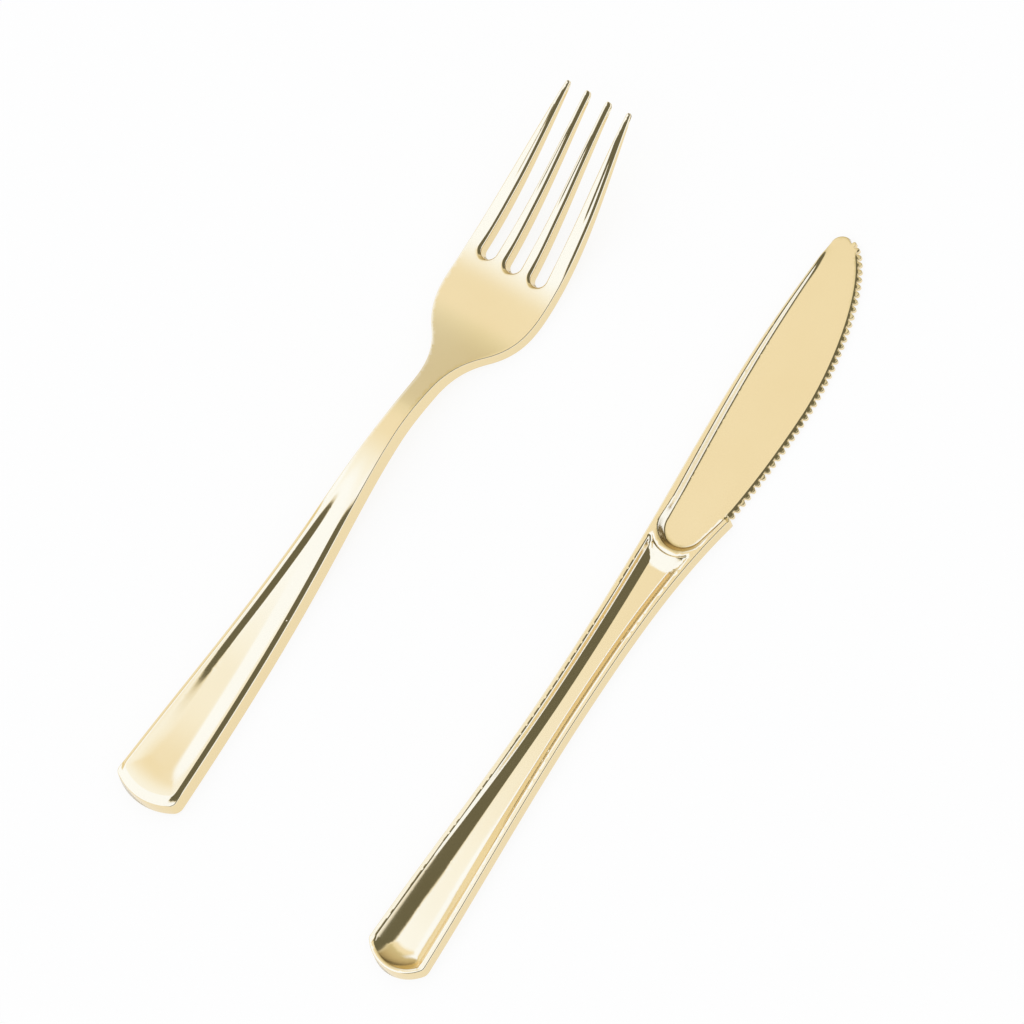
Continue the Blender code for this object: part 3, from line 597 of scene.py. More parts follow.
def tine_sides(k, y):
    """Left and right edge of the tine k, counted from the left."""
    y = np.asarray(y, float)
    left = -fork_half_width(y) if k == 0 else slot_centre(k - 2, y) + slot_half(y)
    right = fork_half_width(y) if k == TINES - 1 else slot_centre(k - 1, y) - slot_half(y)
    return left, right


def fork_top(x, y):
    """Height of the fork's top face, without the rounding of its edges."""
    share = border(y)
    grown = curve(y, PANEL_SCOOP)
    into = border_field(x, y)
    rise = BORDER_RISE * ramp(into / BORDER_BEVEL, BORDER_EASING)
    slope = PANEL_SLOPE + (PANEL_SLOPE_BUTT - PANEL_SLOPE) * (1.0 - ease(y, *PANEL_NARROWS))
    fall = grown * ramp((into - BORDER_BEVEL - BORDER_LAND) / slope, PANEL_EASING)
    soft = grown * ease(into, BORDER_BEVEL + 0.5 * BORDER_LAND, BORDER_BEVEL + PANEL_SOFT * PANEL_SLOPE)
    fall = fall + (soft - fall) * ease(x, -PANEL_MIDDLE, PANEL_MIDDLE)
    edge_height = fork_under(y) + fork_edge(y)
    return edge_height + share * (rise - fall) + (1.0 - share) * PLAIN_RISE - tine_drop(x, y)


def bevel_width(widths, y):
    """Width of the bevel along the tines' edges."""
    wider = ROOT_BEVEL * (1.0 - ease(y - FORK_ROOT_AT, *ROOT_BEVEL_END))
    return widths[0] + (widths[1] - widths[0]) * along_tines(y) + wider


def groove_start(y):
    """How far from a tine's right edge the step in its top starts."""
    gap = GROOVE_GAP * (1.0 - ease(along_tines(y), GROOVE_START[1] - 0.1, GROOVE_MERGE))
    return bevel_width(TINE_RIGHT, y) + gap


def slope_down(room, width):
    """How far a slope of 1 has fallen where room is left to the edge that it ends at."""
    past = width - np.maximum(room, 0.0)
    return (np.hypot(past, TINE_CREASE) + past) / 2


def tine_drop(x, y):
    """How far the tines' bevels and grooves lie under their tops."""
    drop = np.zeros(np.shape(y))
    for place in (-1, 0, 1):
        off = x - slot_centre(place, y)
        past = np.hypot(off, y - ROOT_CENTRE_AT) - slot_half(ROOT_CENTRE_AT)
        room = np.where(y > ROOT_CENTRE_AT, np.abs(off) - slot_half(y), past)
        share = ease(off, -SLOT_TURN, SLOT_TURN)
        width = bevel_width(TINE_RIGHT, y) * (1.0 - share) + bevel_width(TINE_LEFT, y) * share
        near = np.abs(off) < ROOT_RADIUS + SLOT_TURN
        bevel = TINE_BEVEL_SLOPE * slope_down(room, width)
        drop = np.where(near, np.maximum(drop, bevel), drop)
    fade = ease(y - FORK_ROOT_AT, *OUTER_BEVEL_START)
    outer = fork_half_width(y) - np.abs(x)
    width = np.where(x > 0.0, bevel_width(TINE_RIGHT, y), bevel_width(TINE_LEFT, y))
    bevel = TINE_BEVEL_SLOPE * fade * slope_down(outer, width)
    drop = np.maximum(drop, bevel * (outer < TINE_BEVEL_REACH))
    strength = ease(along_tines(y), *GROOVE_START)
    for k in range(TINES):
        left, right = tine_sides(k, y)
        mine = (x > left - ROOT_RADIUS) & (x <= right + ROOT_RADIUS) & (y > ROOT_CENTRE_AT)
        past = groove_start(y) + GROOVE_WIDTH - np.maximum(right - x, 0.0)
        step = GROOVE_DEPTH * GROOVE_SHARES[k] * strength * ramp(past / GROOVE_WIDTH, GROOVE_EASING)
        drop = drop + np.where(mine, step, 0.0)
    return drop


def root_arc(place, room, turn):
    """Arc round the root of a slot, with room between them, at the angles in turn."""
    centre = np.array([float(slot_centre(place, ROOT_CENTRE_AT)), ROOT_CENTRE_AT])
    radius = float(slot_half(ROOT_CENTRE_AT)) + room
    return arc_points(centre, radius, turn)


def fork_outline():
    """Outline of the fork, counter-clockwise from its butt, and which of it is in the slots."""
    parts = [FORK_END]
    slotted = [np.zeros(len(FORK_END))]
    for k in reversed(range(TINES)):
        left, right = tine_sides(k, FORK_LENGTH - 0.5)
        tip_y = FORK_LENGTH - float(right - left) / 2
        up_y = steps(FORK_SIDE_START if k == TINES - 1 else ROOT_CENTRE_AT, tip_y, OUTLINE_STEP)[1:]
        down_y = steps(tip_y, FORK_SIDE_START if k == 0 else ROOT_CENTRE_AT, OUTLINE_STEP)[1:]
        left, right = tine_sides(k, tip_y)
        centre = float(left + right) / 2
        turn = np.linspace(0.0, math.pi, TIP_STEPS + 1)[1:]
        tip_x = centre + (float(right) - centre) * np.cos(turn)
        parts += [points_at(tine_sides(k, up_y)[1], up_y),
                  points_at(tip_x, tip_y + (FORK_LENGTH - tip_y) * np.sin(turn)),
                  points_at(tine_sides(k, down_y)[0], down_y)]
        slotted += [np.full(len(up_y), float(k < TINES - 1)), np.zeros(len(turn)),
                    np.full(len(down_y), float(k > 0))]
        if k > 0:
            turn = np.linspace(0.0, -math.pi, ROOT_STEPS + 1)[1:]
            parts.append(root_arc(k - 2, 0.0, turn))
            slotted.append(np.ones(len(turn)))
    parts.append(FORK_END[-2:0:-1] * (-1.0, 1.0))
    slotted.append(np.zeros(len(FORK_END) - 2))
    return np.concatenate(parts), np.concatenate(slotted)


def fork_loops():
    """Lines along the fork that its top's edges follow."""
    loops = []
    y = steps(FORK_SIDE_START, FORK_HANDLE - BORDER_END, OUTLINE_STEP)
    right = np.concatenate([FORK_END[:-1], points_at(fork_half_width(y), y)])
    start = np.concatenate([right[::-1], right[1:] * (-1.0, 1.0)])
    valley = BORDER_BEVEL + BORDER_LAND + PANEL_SLOPE
    levels = [share * BORDER_BEVEL for share in (0.6, 0.85, 1.0)]
    levels += [BORDER_BEVEL + 0.5 * BORDER_LAND, BORDER_BEVEL + BORDER_LAND]
    levels += [valley - share * PANEL_SLOPE for share in (0.85, 0.65, 0.35, 0.15, 0.0)]
    for level in levels:
        loop = slide_to(start, border_field, level_of(level))
        keep = (np.abs(loop[:, 0]) > 0.3) | (loop[:, 1] < FORK_BUTT_ARC)
        loops.append(loop[keep & (fork_half_width(loop[:, 1]) > level + 0.4)])
    for k in range(TINES):
        y = steps(ROOT_CENTRE_AT, FORK_LENGTH - 1.2, OUTLINE_STEP)
        left, right = tine_sides(k, y)
        bevel = bevel_width(TINE_RIGHT, y)
        start = groove_start(y)
        rooms = [bevel - 0.06, bevel + 0.06, start - 0.04, start + 0.08, start + 0.5 * GROOVE_WIDTH,
                 start + GROOVE_WIDTH - 0.08, start + GROOVE_WIDTH + 0.04]
        last = np.full(len(y), FORK_TOP_ROUND + 0.02)
        for i, room in enumerate(rooms):
            fits = (room > last + 0.05) & (right - left - room > FORK_TOP_ROUND + 0.15)
            if i > 1:
                fits &= along_tines(y) > GROOVE_START[0]
            line = points_at(right - room, y)[fits]
            last = np.where(fits, room, last)
            loops.append(line)
        room = bevel_width(TINE_LEFT, y)
        fits = (right - left - room > last + 0.15) & (room > FORK_TOP_ROUND + 0.05)
        loops.append(points_at(left + room, y)[fits])
    for place in (-1, 0, 1):
        for room in (0.40, 0.52, 0.66, 0.80, 0.94):
            loops.append(root_arc(place, room, np.linspace(0.0, -math.pi, RIDGE_STEPS)) - (0.0, 0.15))
    return [loop for loop in loops if len(loop) > 2]


def build_fork():
    """Fork: one moulding."""
    outline, slotted = fork_outline()
    normals = inward(outline)
    lean = curve(outline[:, 1], [(FORK_HANDLE, FORK_HANDLE_LEAN, 0.0), (FORK_WIDEST_AT, FORK_HEAD_LEAN, 0.0)])
    lean = np.where(slotted > 0.5, SLOT_LEAN, lean) * fork_edge(outline[:, 1])
    all_round = np.ones(len(outline))

    def under(x, y):
        return fork_under(y)

    rings = edge_rings(outline, normals, lean, fork_top, under,
                       FORK_TOP_ROUND * all_round, FORK_FOOT_ROUND * all_round)
    return moulding("fork_skin", rings, fork_loops(), fork_top, under)


# Knife

KNIFE_END = butt_end(KNIFE_BUTT_WIDTH / 2, KNIFE_BUTT_ARC, KNIFE_BUTT_CORNER)
KNIFE_SIDE_START = KNIFE_END[-1][1]
STEEP_SLOPE = math.tan(math.radians(WALL_STEEP))
GENTLE_SLOPE = math.tan(math.radians(WALL_GENTLE))


def knife_left(y):
    """Axis to the left side: handle, then spine."""
    mean_slope = (KNIFE_SPINE_REACH - KNIFE_WAIST_WIDTH / 2) / (KNIFE_SPINE_AT - KNIFE_WAIST_AT)
    return curve(y, [
        (KNIFE_SIDE_START, KNIFE_BUTT_WIDTH / 2, -0.03),
        (KNIFE_WAIST_AT, KNIFE_WAIST_WIDTH / 2, 0.0),
        (KNIFE_SHOULDER_AT, KNIFE_SHOULDER_REACH, SHOULDER_STEEPNESS * mean_slope),
        (KNIFE_SPINE_AT, KNIFE_SPINE_REACH, 0.0),
        (KNIFE_LENGTH, KNIFE_SPINE_REACH - 1.0, -0.1),
    ])


def knife_right(y):
    """Axis to the right side, from the butt to the heel."""
    return curve(y, [
        (KNIFE_SIDE_START, KNIFE_BUTT_WIDTH / 2, -0.03),
        (KNIFE_WAIST_AT, KNIFE_WAIST_WIDTH / 2, 0.0),
        (KNIFE_HEEL_AT, KNIFE_HEEL_REACH, 0.24),
    ])


def cutting_edge():
    """Smooth line through the tooth tips, from the heel to the nose."""
    y = np.linspace(KNIFE_HEEL_AT + HEEL_STEP, KNIFE_BELLY_AT, 160)
    x = curve(y, [(y[0], KNIFE_EDGE_START, 0.14), (KNIFE_BELLY_AT, KNIFE_EDGE_REACH, 0.0)])
    a = np.linspace(0.0, math.pi / 2, 320)[1:-1]
    reach = KNIFE_EDGE_REACH - KNIFE_NOSE_REACH
    nose_x = KNIFE_NOSE_REACH + reach * np.cos(a) ** (2.0 / EDGE_CURVE)
    nose_y = KNIFE_BELLY_AT + (KNIFE_LENGTH - KNIFE_BELLY_AT) * np.sin(a) ** (2.0 / EDGE_CURVE)
    return np.concatenate([points_at(x, y), points_at(nose_x, nose_y)])


EDGE_LINE = cutting_edge()
EDGE_ALONG = np.concatenate([[0.0], np.cumsum(np.linalg.norm(np.diff(EDGE_LINE, axis=0), axis=1))])
EDGE_RUN = np.gradient(EDGE_LINE, EDGE_ALONG, axis=0)


def edge_at(at):
    """Place and inward normal on the cutting edge, at a length along it."""
    points = points_at(*(np.interp(at, EDGE_ALONG, line) for line in EDGE_LINE.T))
    ahead = points_at(*(np.interp(at, EDGE_ALONG, run) for run in EDGE_RUN.T))
    normals = points_at(-ahead[:, 1], ahead[:, 0]) / np.linalg.norm(ahead, axis=1)[:, None]
    return points, normals


def from_edge(x, y):
    """Distance in from the cutting edge, and how far along it, from 0 to 1."""
    points = points_at(np.ravel(x), np.ravel(y))
    dist = np.full(len(points), FAR_AWAY)
    share = np.zeros(len(points))
    near = np.flatnonzero(points[:, 1] > KNIFE_HEEL_AT - 4.0)
    for some in np.array_split(near, max(1, len(near) // 2000)):
        gap = points[some][:, None, :] - EDGE_LINE[None]
        first = np.argmin((gap ** 2).sum(axis=2), axis=1)
        picked = gap[np.arange(len(some)), first]
        run = EDGE_RUN[first]
        dist[some] = (picked[:, 1] * run[:, 0] - picked[:, 0] * run[:, 1]) / np.linalg.norm(run, axis=1)
        share[some] = EDGE_ALONG[first] / EDGE_ALONG[-1]
    return dist.reshape(np.shape(x)), share.reshape(np.shape(x))


def hollow_sides(x, y):
    """Distances in from the trough's edge: at its sides, at the butt, and at the ridge."""
    side = np.minimum(x + knife_left(y), knife_right(y) - x) - RIM_WIDTH
    butt = from_butt(x, y, KNIFE_BUTT_ARC) - BUTT_RIM
    ridge = np.hypot(x - RECESS_CENTRE[0], y - RECESS_CENTRE[1]) - RIDGE_OUTER_RADIUS
    return side, butt, ridge


def hollow_field(x, y):
    """Distance in from the edge of the handle's hollow."""
    return np.minimum.reduce(hollow_sides(x, y))


def steep_run(y):
    """Width of the steep band of the hollow's walls."""
    return curve(y, [(0.0, STEEP_RUN_BUTT, 0.0), (SCOOP_END, STEEP_RUN_NECK, 0.0)])


def gentle_run(y):
    """Width of the gentle band below it."""
    return curve(y, [(0.0, GENTLE_RUN_BUTT, 0.0), (SCOOP_END, GENTLE_RUN_NECK, 0.0)])


def floor_depth(y):
    """Depth of the trough's floor under the rim."""
    return STEEP_SLOPE * steep_run(y) + GENTLE_SLOPE * gentle_run(y)


def scooped(into, reach, y):
    """Depth under the rim of a wall that is steepest at the rim and rounds off to the floor."""
    return floor_depth(y) * (1.0 - (1.0 - np.clip(into / reach, 0.0, 1.0)) ** 2)


def side_depth(into, y):
    """Depth under the rim, at a distance in from the trough's sides."""
    steep = STEEP_SLOPE * steep_run(y) * ramp(into / steep_run(y), STEEP_EASING)
    gentle = GENTLE_SLOPE * gentle_run(y) * ramp((into - steep_run(y)) / gentle_run(y), GENTLE_EASING)
    banded = steep + gentle
    rounded = scooped(into, SIDE_SCOOP, y)
    return rounded + (banded - rounded) * ease(y, SCOOP_START, SCOOP_END)


def side_over_butt(x, y):
    """How much deeper the trough's side would be than its end; 0 at the crease between them."""
    side, butt, _ = hollow_sides(x, y)
    return side_depth(side, y) - scooped(butt, BUTT_SCOOP, y)


def hollow_depth(x, y):
    """Depth of the handle's trough under the rim."""
    side, butt, ridge = hollow_sides(x, y)
    depth = np.minimum(side_depth(side, y), scooped(butt, BUTT_SCOOP, y))
    crest = RIDGE_STEP * ramp(ridge / RIDGE_STEP, RIDGE_EASING) + GENTLE_SLOPE * ridge
    return np.maximum(np.minimum(depth, crest), 0.0)


def recess_field(x, y):
    """Distance out from the foot of the wall round the blade's plate."""
    exit_point = np.array([RECESS_EXIT_X, KNIFE_HEEL_AT + HEEL_STEP])
    way = exit_point - RECESS_CENTRE
    tangent = math.atan2(way[1], way[0]) - math.acos(RECESS_RADIUS / np.linalg.norm(way))
    touch = RECESS_CENTRE + RECESS_RADIUS * np.array([math.cos(tangent), math.sin(tangent)])
    run = (exit_point - touch) / np.linalg.norm(exit_point - touch)
    foot = np.interp(y, [RECESS_CENTRE[1], KNIFE_LENGTH], [RECESS_FOOT_HEEL, RECESS_FOOT_NOSE])
    left = foot - knife_left(y) - x
    arc = np.hypot(x - RECESS_CENTRE[0], y - RECESS_CENTRE[1]) - RECESS_RADIUS
    line = (x - touch[0]) * run[1] - (y - touch[1]) * run[0]
    line = np.minimum(line, exit_point[1] - y)
    angle = np.arctan2(y - RECESS_CENTRE[1], x - RECESS_CENTRE[0])
    return np.where(angle > math.pi / 2, left, np.where(angle < tangent, arc, line))


def spine_height(y):
    """Height of the rim and of the rib along the spine."""
    return curve(y, [
        (RECESS_CENTRE[1], KNIFE_THICKNESS, 0.0),
        (SPINE_FALL_FROM, KNIFE_THICKNESS - SPINE_FALL, -0.01),
        (KNIFE_LENGTH, SPINE_END_HEIGHT, -0.02),
    ])


def knife_top(x, y):
    """Height of the knife's top face, without the rounding of its outer edges."""
    height = spine_height(y) - np.where(y < RECESS_CENTRE[1], hollow_depth(x, y), 0.0)
    out = recess_field(x, y)
    sunk = ease(y, NOSE_START, NOSE_END)
    steeper = ease(y - RECESS_CENTRE[1], *RECESS_TURN)
    slope = np.tan(np.radians(RECESS_WALL_HEEL + (RECESS_WALL - RECESS_WALL_HEEL) * steeper))
    slope = slope * (1.0 - sunk) + NOSE_SLOPE * sunk
    wall = PANEL_HEIGHT + slope * (np.hypot(out, RECESS_FILLET + NOSE_FILLET * sunk) + out) / 2
    height = soft_min(height, wall, RIM_FILLET)
    dist, share = from_edge(x, y)
    back = GRIND_WIDTH - TOOTH_STEP
    ground = TOOTH_TIP_HEIGHT + (TOOTH_BACK_HEIGHT - TOOTH_TIP_HEIGHT) * dist / back
    ground = np.maximum(ground, TOOTH_BACK_HEIGHT
                        + (PANEL_HEIGHT - TOOTH_BACK_HEIGHT) * (dist - back) / TOOTH_STEP)
    ground = ground + (PANEL_HEIGHT - TOOTH_TIP_HEIGHT) * ease(share, *TEETH_FADE)
    return soft_min(height, np.where(y > KNIFE_HEEL_AT, ground, FAR_AWAY), TOOTH_FILLET)


def knife_outline():
    """Outline of the knife, counter-clockwise from its butt, its normals, and where its teeth are."""
    right_y = steps(KNIFE_SIDE_START, KNIFE_HEEL_AT, OUTLINE_STEP)[1:]
    right = points_at(knife_right(right_y), right_y)
    count = max(1, round(EDGE_ALONG[-1] / TOOTH_PITCH))
    turn = np.linspace(0.0, math.pi, TOOTH_STEPS + 1)
    half = TOOTH_LENGTH / TOOTH_PITCH / 2
    at = (np.arange(count)[:, None] + 0.5 - half * np.cos(turn)).ravel() * EDGE_ALONG[-1] / count
    edge, edge_normals = edge_at(at)
    edge = edge + edge_normals * np.tile(TOOTH_DEPTH * (1.0 - np.sin(turn)), count)[:, None]
    nose_y = KNIFE_LENGTH - KNIFE_NOSE_RADIUS
    nose_x = -float(knife_left(nose_y)) + KNIFE_NOSE_RADIUS
    around = np.radians(np.linspace(84.0, 180.0, CORNER_STEPS))
    nose = arc_points((nose_x, nose_y), KNIFE_NOSE_RADIUS, around)
    left_y = steps(nose_y, KNIFE_SIDE_START, OUTLINE_STEP)[1:-1]
    left = points_at(-knife_left(left_y), left_y)
    outline = np.concatenate([KNIFE_END, right, edge, nose, left, KNIFE_END[:0:-1] * (-1.0, 1.0)])
    toothed = np.zeros(len(outline))
    first = len(KNIFE_END) + len(right)
    toothed[first:first + len(edge)] = 1.0
    return outline, inward(outline), toothed


def knife_loops():
    """Lines on the knife's top that its edges follow."""
    loops = []
    y = steps(KNIFE_SIDE_START, RECESS_CENTRE[1] - 6.0, OUTLINE_STEP)
    right = np.concatenate([KNIFE_END[:-1], points_at(knife_right(y), y)])
    left = np.concatenate([KNIFE_END[:-1] * (-1.0, 1.0), points_at(-knife_left(y), y)])
    turn = np.linspace(math.radians(-40.0), math.radians(-140.0), RIDGE_STEPS)
    ridge = arc_points(RECESS_CENTRE, RIDGE_OUTER_RADIUS, turn)
    start = np.concatenate([left[:0:-1], right, ridge])
    parts = [(share, 0.0) for share in (0.0, 0.15, 0.3, 0.6, 0.85, 1.0)]
    parts += [(1.0, share) for share in (0.12, 0.3, 0.5, 0.7, 0.85, 1.0, 1.15)]
    for steep_part, gentle_part in parts:
        def wanted(y):
            return steep_part * steep_run(y) + gentle_part * gentle_run(y)

        loop = slide_to(start, hollow_field, wanted)
        off = np.abs(hollow_field(*loop.T) - wanted(loop[:, 1]))
        sides = np.sort(hollow_sides(*loop.T), axis=0)
        kept = (off < ON_LINE) & (sides[1] - sides[0] > 0.3)
        if steep_part > 0.0:
            kept &= loop[:, 1] > BAND_LOOPS_FROM
        loops.append(loop[kept])
    for level in (0.15, 0.35, 0.7, 1.2, 1.9, 2.7, 3.5):
        loop = slide_to(start, hollow_field, level_of(level))
        sides = np.sort(hollow_sides(*loop.T), axis=0)
        kept = (np.abs(sides[0] - level) < ON_LINE) & (sides[1] - sides[0] > 0.3)
        loops.append(loop[kept & (loop[:, 1] < BAND_LOOPS_FROM + 0.5)])
    for side in (-1.0, 1.0):
        t = np.linspace(0.12, 1.0, 16)[:, None]
        start_at = np.array([side * (KNIFE_BUTT_WIDTH / 2 - RIM_WIDTH), 2.6])
        crease = start_at + t * (np.array([side * 1.6, 6.0]) - start_at)
        loops.append(slide_to(crease, side_over_butt, level_of(0.0)))
    turn = np.linspace(math.pi, 2.0 * math.pi - 0.28, RECESS_STEPS)
    arc = arc_points(RECESS_CENTRE, RECESS_RADIUS, turn)
    spine_y = steps(KNIFE_LENGTH - 1.0, RECESS_CENTRE[1] + 0.3, OUTLINE_STEP)
    foot = np.interp(spine_y, [RECESS_CENTRE[1], KNIFE_LENGTH], [RECESS_FOOT_HEEL, RECESS_FOOT_NOSE])
    spine = points_at(foot - knife_left(spine_y), spine_y)
    line = np.linspace(arc[-1], (RECESS_EXIT_X, KNIFE_HEEL_AT + HEEL_STEP), 18)[1:]
    start = np.concatenate([spine, arc, line])
    outline = knife_outline()[0]
    for level in (-0.2, -0.08, 0.0, 0.06, 0.14, 0.3, 0.55, 0.8, 0.95, 1.05, 1.15, 1.3):
        loop = slide_to(start, recess_field, level_of(level))
        near = np.abs(recess_field(*loop.T) - level) < ON_LINE
        room = np.where(loop[:, 1] > RECESS_CENTRE[1], loop[:, 0] + knife_left(loop[:, 1]), FAR_AWAY)
        loops.append(loop[near & (room > KNIFE_TOP_ROUND + 0.1) & inside(loop, outline)])
    at = steps(1.0, EDGE_ALONG[-1] - 2.0, EDGE_STEP)
    points, normals = edge_at(at)
    for level in (GRIND_WIDTH - TOOTH_STEP, GRIND_WIDTH - 0.04, GRIND_WIDTH + 0.06):
        loops.append(points + normals * level)
    return [loop for loop in loops if len(loop) > 2]


def build_knife():
    """Knife: one moulding."""
    outline, normals, toothed = knife_outline()
    top_round = KNIFE_TOP_ROUND + (TOOTH_ROUND - KNIFE_TOP_ROUND) * toothed
    foot_round = KNIFE_FOOT_ROUND + (TOOTH_ROUND - KNIFE_FOOT_ROUND) * toothed
    draft = KNIFE_SIDE_DRAFT + (KNIFE_END_DRAFT - KNIFE_SIDE_DRAFT) * np.maximum(normals[:, 1], 0.0) ** 2

    def under(x, y):
        return np.zeros(np.shape(x))

    rings = edge_rings(outline, normals, draft * (1.0 - toothed), knife_top, under, top_round, foot_round)
    return moulding("knife_skin", rings, knife_loops(), knife_top, under)


# Materials

def add_map(nodes, links, value, places, results):
    """A value's places mapped to results, level past them."""
    node = nodes.new("ShaderNodeMapRange")
    node.inputs["From Min"].default_value, node.inputs["From Max"].default_value = places
    node.inputs["To Min"].default_value, node.inputs["To Max"].default_value = results
    links.new(value, node.inputs["Value"])
    return node.outputs["Result"]


def add_math(nodes, links, operation, first, second):
    """One of Blender's sums on two values."""
    node = nodes.new("ShaderNodeMath")
    node.operation = operation
    links.new(first, node.inputs[0])
    links.new(second, node.inputs[1])
    return node.outputs["Value"]


def add_mix(nodes, links, share, *colors):
    """The first colour at share 0 and the second at 1; each is a node's output or plain numbers."""
    node = nodes.new("ShaderNodeMix")
    node.data_type = "RGBA"
    links.new(share, node.inputs["Factor"])
    for color, end in zip(colors, "AB"):
        if isinstance(color, tuple):
            node.inputs[end].default_value = color
        else:
            links.new(color, node.inputs[end])
    return node.outputs["Result"]


def add_place(nodes, links, kind):
    """X, Y and Z of the place in space that kind names."""
    place = nodes.new("ShaderNodeTexCoord")
    split = nodes.new("ShaderNodeSeparateXYZ")
    links.new(place.outputs[kind], split.inputs["Vector"])
    return [split.outputs[axis] for axis in "XYZ"]


def start_nodes(holder):
    """Nodes and links of a new material or world."""
    holder.use_nodes = True
    return holder.node_tree.nodes, holder.node_tree.links


def add_ramp(nodes, links, value, stops):
    """Colour ramp over a value, from (place, colour) stops."""
    low, high = stops[0][0], stops[-1][0]
    band = nodes.new("ShaderNodeValToRGB")
    elements = band.color_ramp.elements
    while len(elements) > 1:
        elements.remove(elements[-1])
    for i, (place, color) in enumerate(stops):
        at = (place - low) / (high - low)
        element = elements[0] if i == 0 else elements.new(at)
        element.position = at
        element.color = (*(c / CARD_STRENGTH for c in color), 1.0)
    links.new(add_map(nodes, links, value, (low, high), (0.0, 1.0)), band.inputs["Fac"])
    return band.outputs["Color"]


def gold_skin(name):
    """Metallised gold over moulded plastic."""
    material = bpy.data.materials.new(name)
    nodes, links = start_nodes(material)
    shader = nodes["Principled BSDF"]
    shader.inputs["Metallic"].default_value = 1.0
    place = nodes.new("ShaderNodeTexCoord")
    clouds = nodes.new("ShaderNodeTexNoise")
    clouds.inputs["Scale"].default_value = GOLD_MOTTLE
    clouds.inputs["Detail"].default_value = 3.0
    links.new(place.outputs["Object"], clouds.inputs["Vector"])
    tone = add_mix(nodes, links, clouds.outputs["Fac"], *GOLD_SHADES)
    links.new(tone, shader.inputs["Base Color"])
    haze = add_map(nodes, links, clouds.outputs["Fac"], (0.0, 1.0), GOLD_ROUGHNESS)
    links.new(haze, shader.inputs["Roughness"])
    return material


# Set

def place_pieces():
    """Stand both mouldings where the solids lie."""
    fork = build_fork()
    knife = build_knife()
    low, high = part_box("fork")
    fork.location = ((low.x + high.x) / 2, low.y + FORK_HANDLE_LEAN * FORK_HANDLE_EDGE * MM, 0.0)
    knife.rotation_euler.z = math.radians(KNIFE_TURN)
    knife.location = (fork.location.x + BUTT_SPACING * MM, fork.location.y - KNIFE_SETBACK * MM, 0.0)
    for obj, node in ((fork, "fork"), (knife, "knife")):
        obj.data.materials.append(gold_skin(node + "_gold_skin"))
        bpy.context.view_layer.update()
        obj.data.transform(obj.matrix_world)
        obj.matrix_world = Matrix.Identity(4)
        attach(obj, "root")
        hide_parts(node)


def make_camera():
    """Camera at the photograph's view."""
    data = bpy.data.cameras.new("camera")
    data.lens = LENS
    data.sensor_width = SENSOR
    data.clip_end = 10.0
    camera = bpy.data.objects.new("camera", data)
    bpy.context.scene.collection.objects.link(camera)
    bpy.context.scene.camera = camera
    toward = Vector((math.tan(math.radians(CAMERA_LEAN_X)), math.tan(math.radians(CAMERA_LEAN_Y)), 1.0))
    toward.normalize()
    roll = math.radians(CAMERA_ROLL)
    up = Vector((math.sin(roll), math.cos(roll), 0.0))
    right = up.cross(toward).normalized()
    up = toward.cross(right)
    turn = Matrix((right, up, toward)).transposed().to_4x4()
    at = Vector((*LOOK_AT, 0.0)) + toward * CAMERA_DISTANCE
    camera.matrix_world = Matrix.Translation(at * MM) @ turn


def new_plane(name, half_size, height, material):
    """Level square over the origin, part of the set."""
    mesh = bpy.data.meshes.new(name)
    bm = bmesh.new()
    bmesh.ops.create_grid(bm, x_segments=1, y_segments=1, size=half_size)
    bm.to_mesh(mesh)
    bm.free()
    mesh.materials.append(material)
    plane = bpy.data.objects.new(name, mesh)
    plane.location.z = height
    bpy.context.scene.collection.objects.link(plane)
    return plane


def seen_or_mirrored(nodes, links):
    """1 for what the camera sees, straight or in the gold, and 0 for light that falls on things."""
    path = nodes.new("ShaderNodeLightPath")
    return add_math(nodes, links, "MAXIMUM", path.outputs["Is Camera Ray"], path.outputs["Is Glossy Ray"])


def floor_material():
    """Pale floor: white as it is seen, with the pieces' shadow kept faint."""
    material = bpy.data.materials.new("floor_white")
    nodes, links = start_nodes(material)
    shader = nodes["Principled BSDF"]
    shader.inputs["Base Color"].default_value = (*([FLOOR_GREY] * 3), 1.0)
    shader.inputs["Roughness"].default_value = FLOOR_ROUGHNESS
    white = nodes.new("ShaderNodeEmission")
    white.inputs["Strength"].default_value = 1.0
    share = add_map(nodes, links, seen_or_mirrored(nodes, links), (0.0, 1.0), (0.0, FLOOR_WHITE_SHARE))
    mix = nodes.new("ShaderNodeMixShader")
    links.new(share, mix.inputs["Fac"])
    links.new(shader.outputs["BSDF"], mix.inputs[1])
    links.new(white.outputs["Emission"], mix.inputs[2])
    links.new(mix.outputs["Shader"], nodes["Material Output"].inputs["Surface"])
    return material


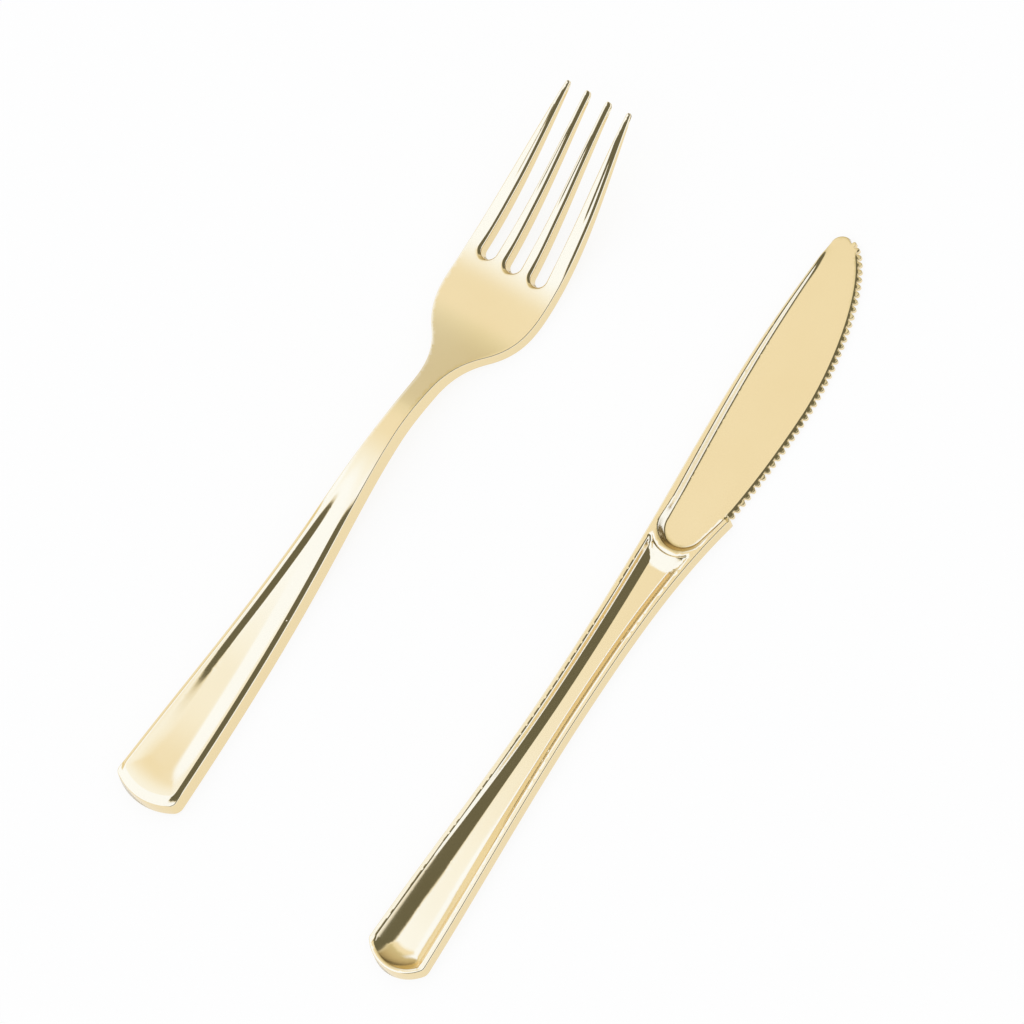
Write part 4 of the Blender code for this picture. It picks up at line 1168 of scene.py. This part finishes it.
def card_material():
    """Light card over the table, as the gold mirrors it: a soft box with a dark strip beside it."""
    material = bpy.data.materials.new("light_card")
    nodes, links = start_nodes(material)
    nodes.remove(nodes["Principled BSDF"])
    x, y, _ = add_place(nodes, links, "Object")
    along = add_ramp(nodes, links, y, CARD_ALONG)
    across = add_ramp(nodes, links, x, CARD_ACROSS)
    near = add_map(nodes, links, y, FAR_PART, (1.0, 0.0))
    left = add_map(nodes, links, x, LEFT_PART, (1.0, 0.0))
    right = add_map(nodes, links, x, RIGHT_PART, (0.0, 1.0))
    left = add_math(nodes, links, "MULTIPLY", left, near)
    light = add_mix(nodes, links, add_math(nodes, links, "MAXIMUM", left, right), along, across)
    glow = nodes.new("ShaderNodeEmission")
    glow.inputs["Strength"].default_value = CARD_STRENGTH
    links.new(light, glow.inputs["Color"])
    links.new(glow.outputs["Emission"], nodes["Material Output"].inputs["Surface"])
    return material


def make_set():
    """Floor, and the light card that only the gold sees."""
    new_plane("floor", FLOOR_HALF, -FLOOR_SINK, floor_material())
    card = new_plane("light_card", CARD_HALF, CARD_HEIGHT, card_material())
    card.visible_camera = False
    card.visible_diffuse = False
    card.visible_shadow = False


def make_world():
    """Soft even studio light, with a horizon that is bright on the right and brown on the left."""
    world = bpy.data.worlds.new("studio")
    bpy.context.scene.world = world
    nodes, links = start_nodes(world)
    x, y, z = add_place(nodes, links, "Generated")
    sides = add_ramp(nodes, links, x, HORIZON_ACROSS)
    ends = add_ramp(nodes, links, y, HORIZON_ALONG)
    band = add_mix(nodes, links, add_map(nodes, links, y, HORIZON_FAR, (0.0, 1.0)), sides, ends)
    plain = (*([1.0 / CARD_STRENGTH] * 3), 1.0)
    sky = add_mix(nodes, links, add_map(nodes, links, z, HORIZON_TOP, (0.0, 1.0)), band, plain)
    background = nodes["Background"]
    background.inputs["Strength"].default_value = CARD_STRENGTH
    links.new(sky, background.inputs["Color"])


def main():
    place_pieces()
    make_set()
    make_world()
    make_camera()
    bpy.context.scene.view_settings.view_transform = "Standard"


main()
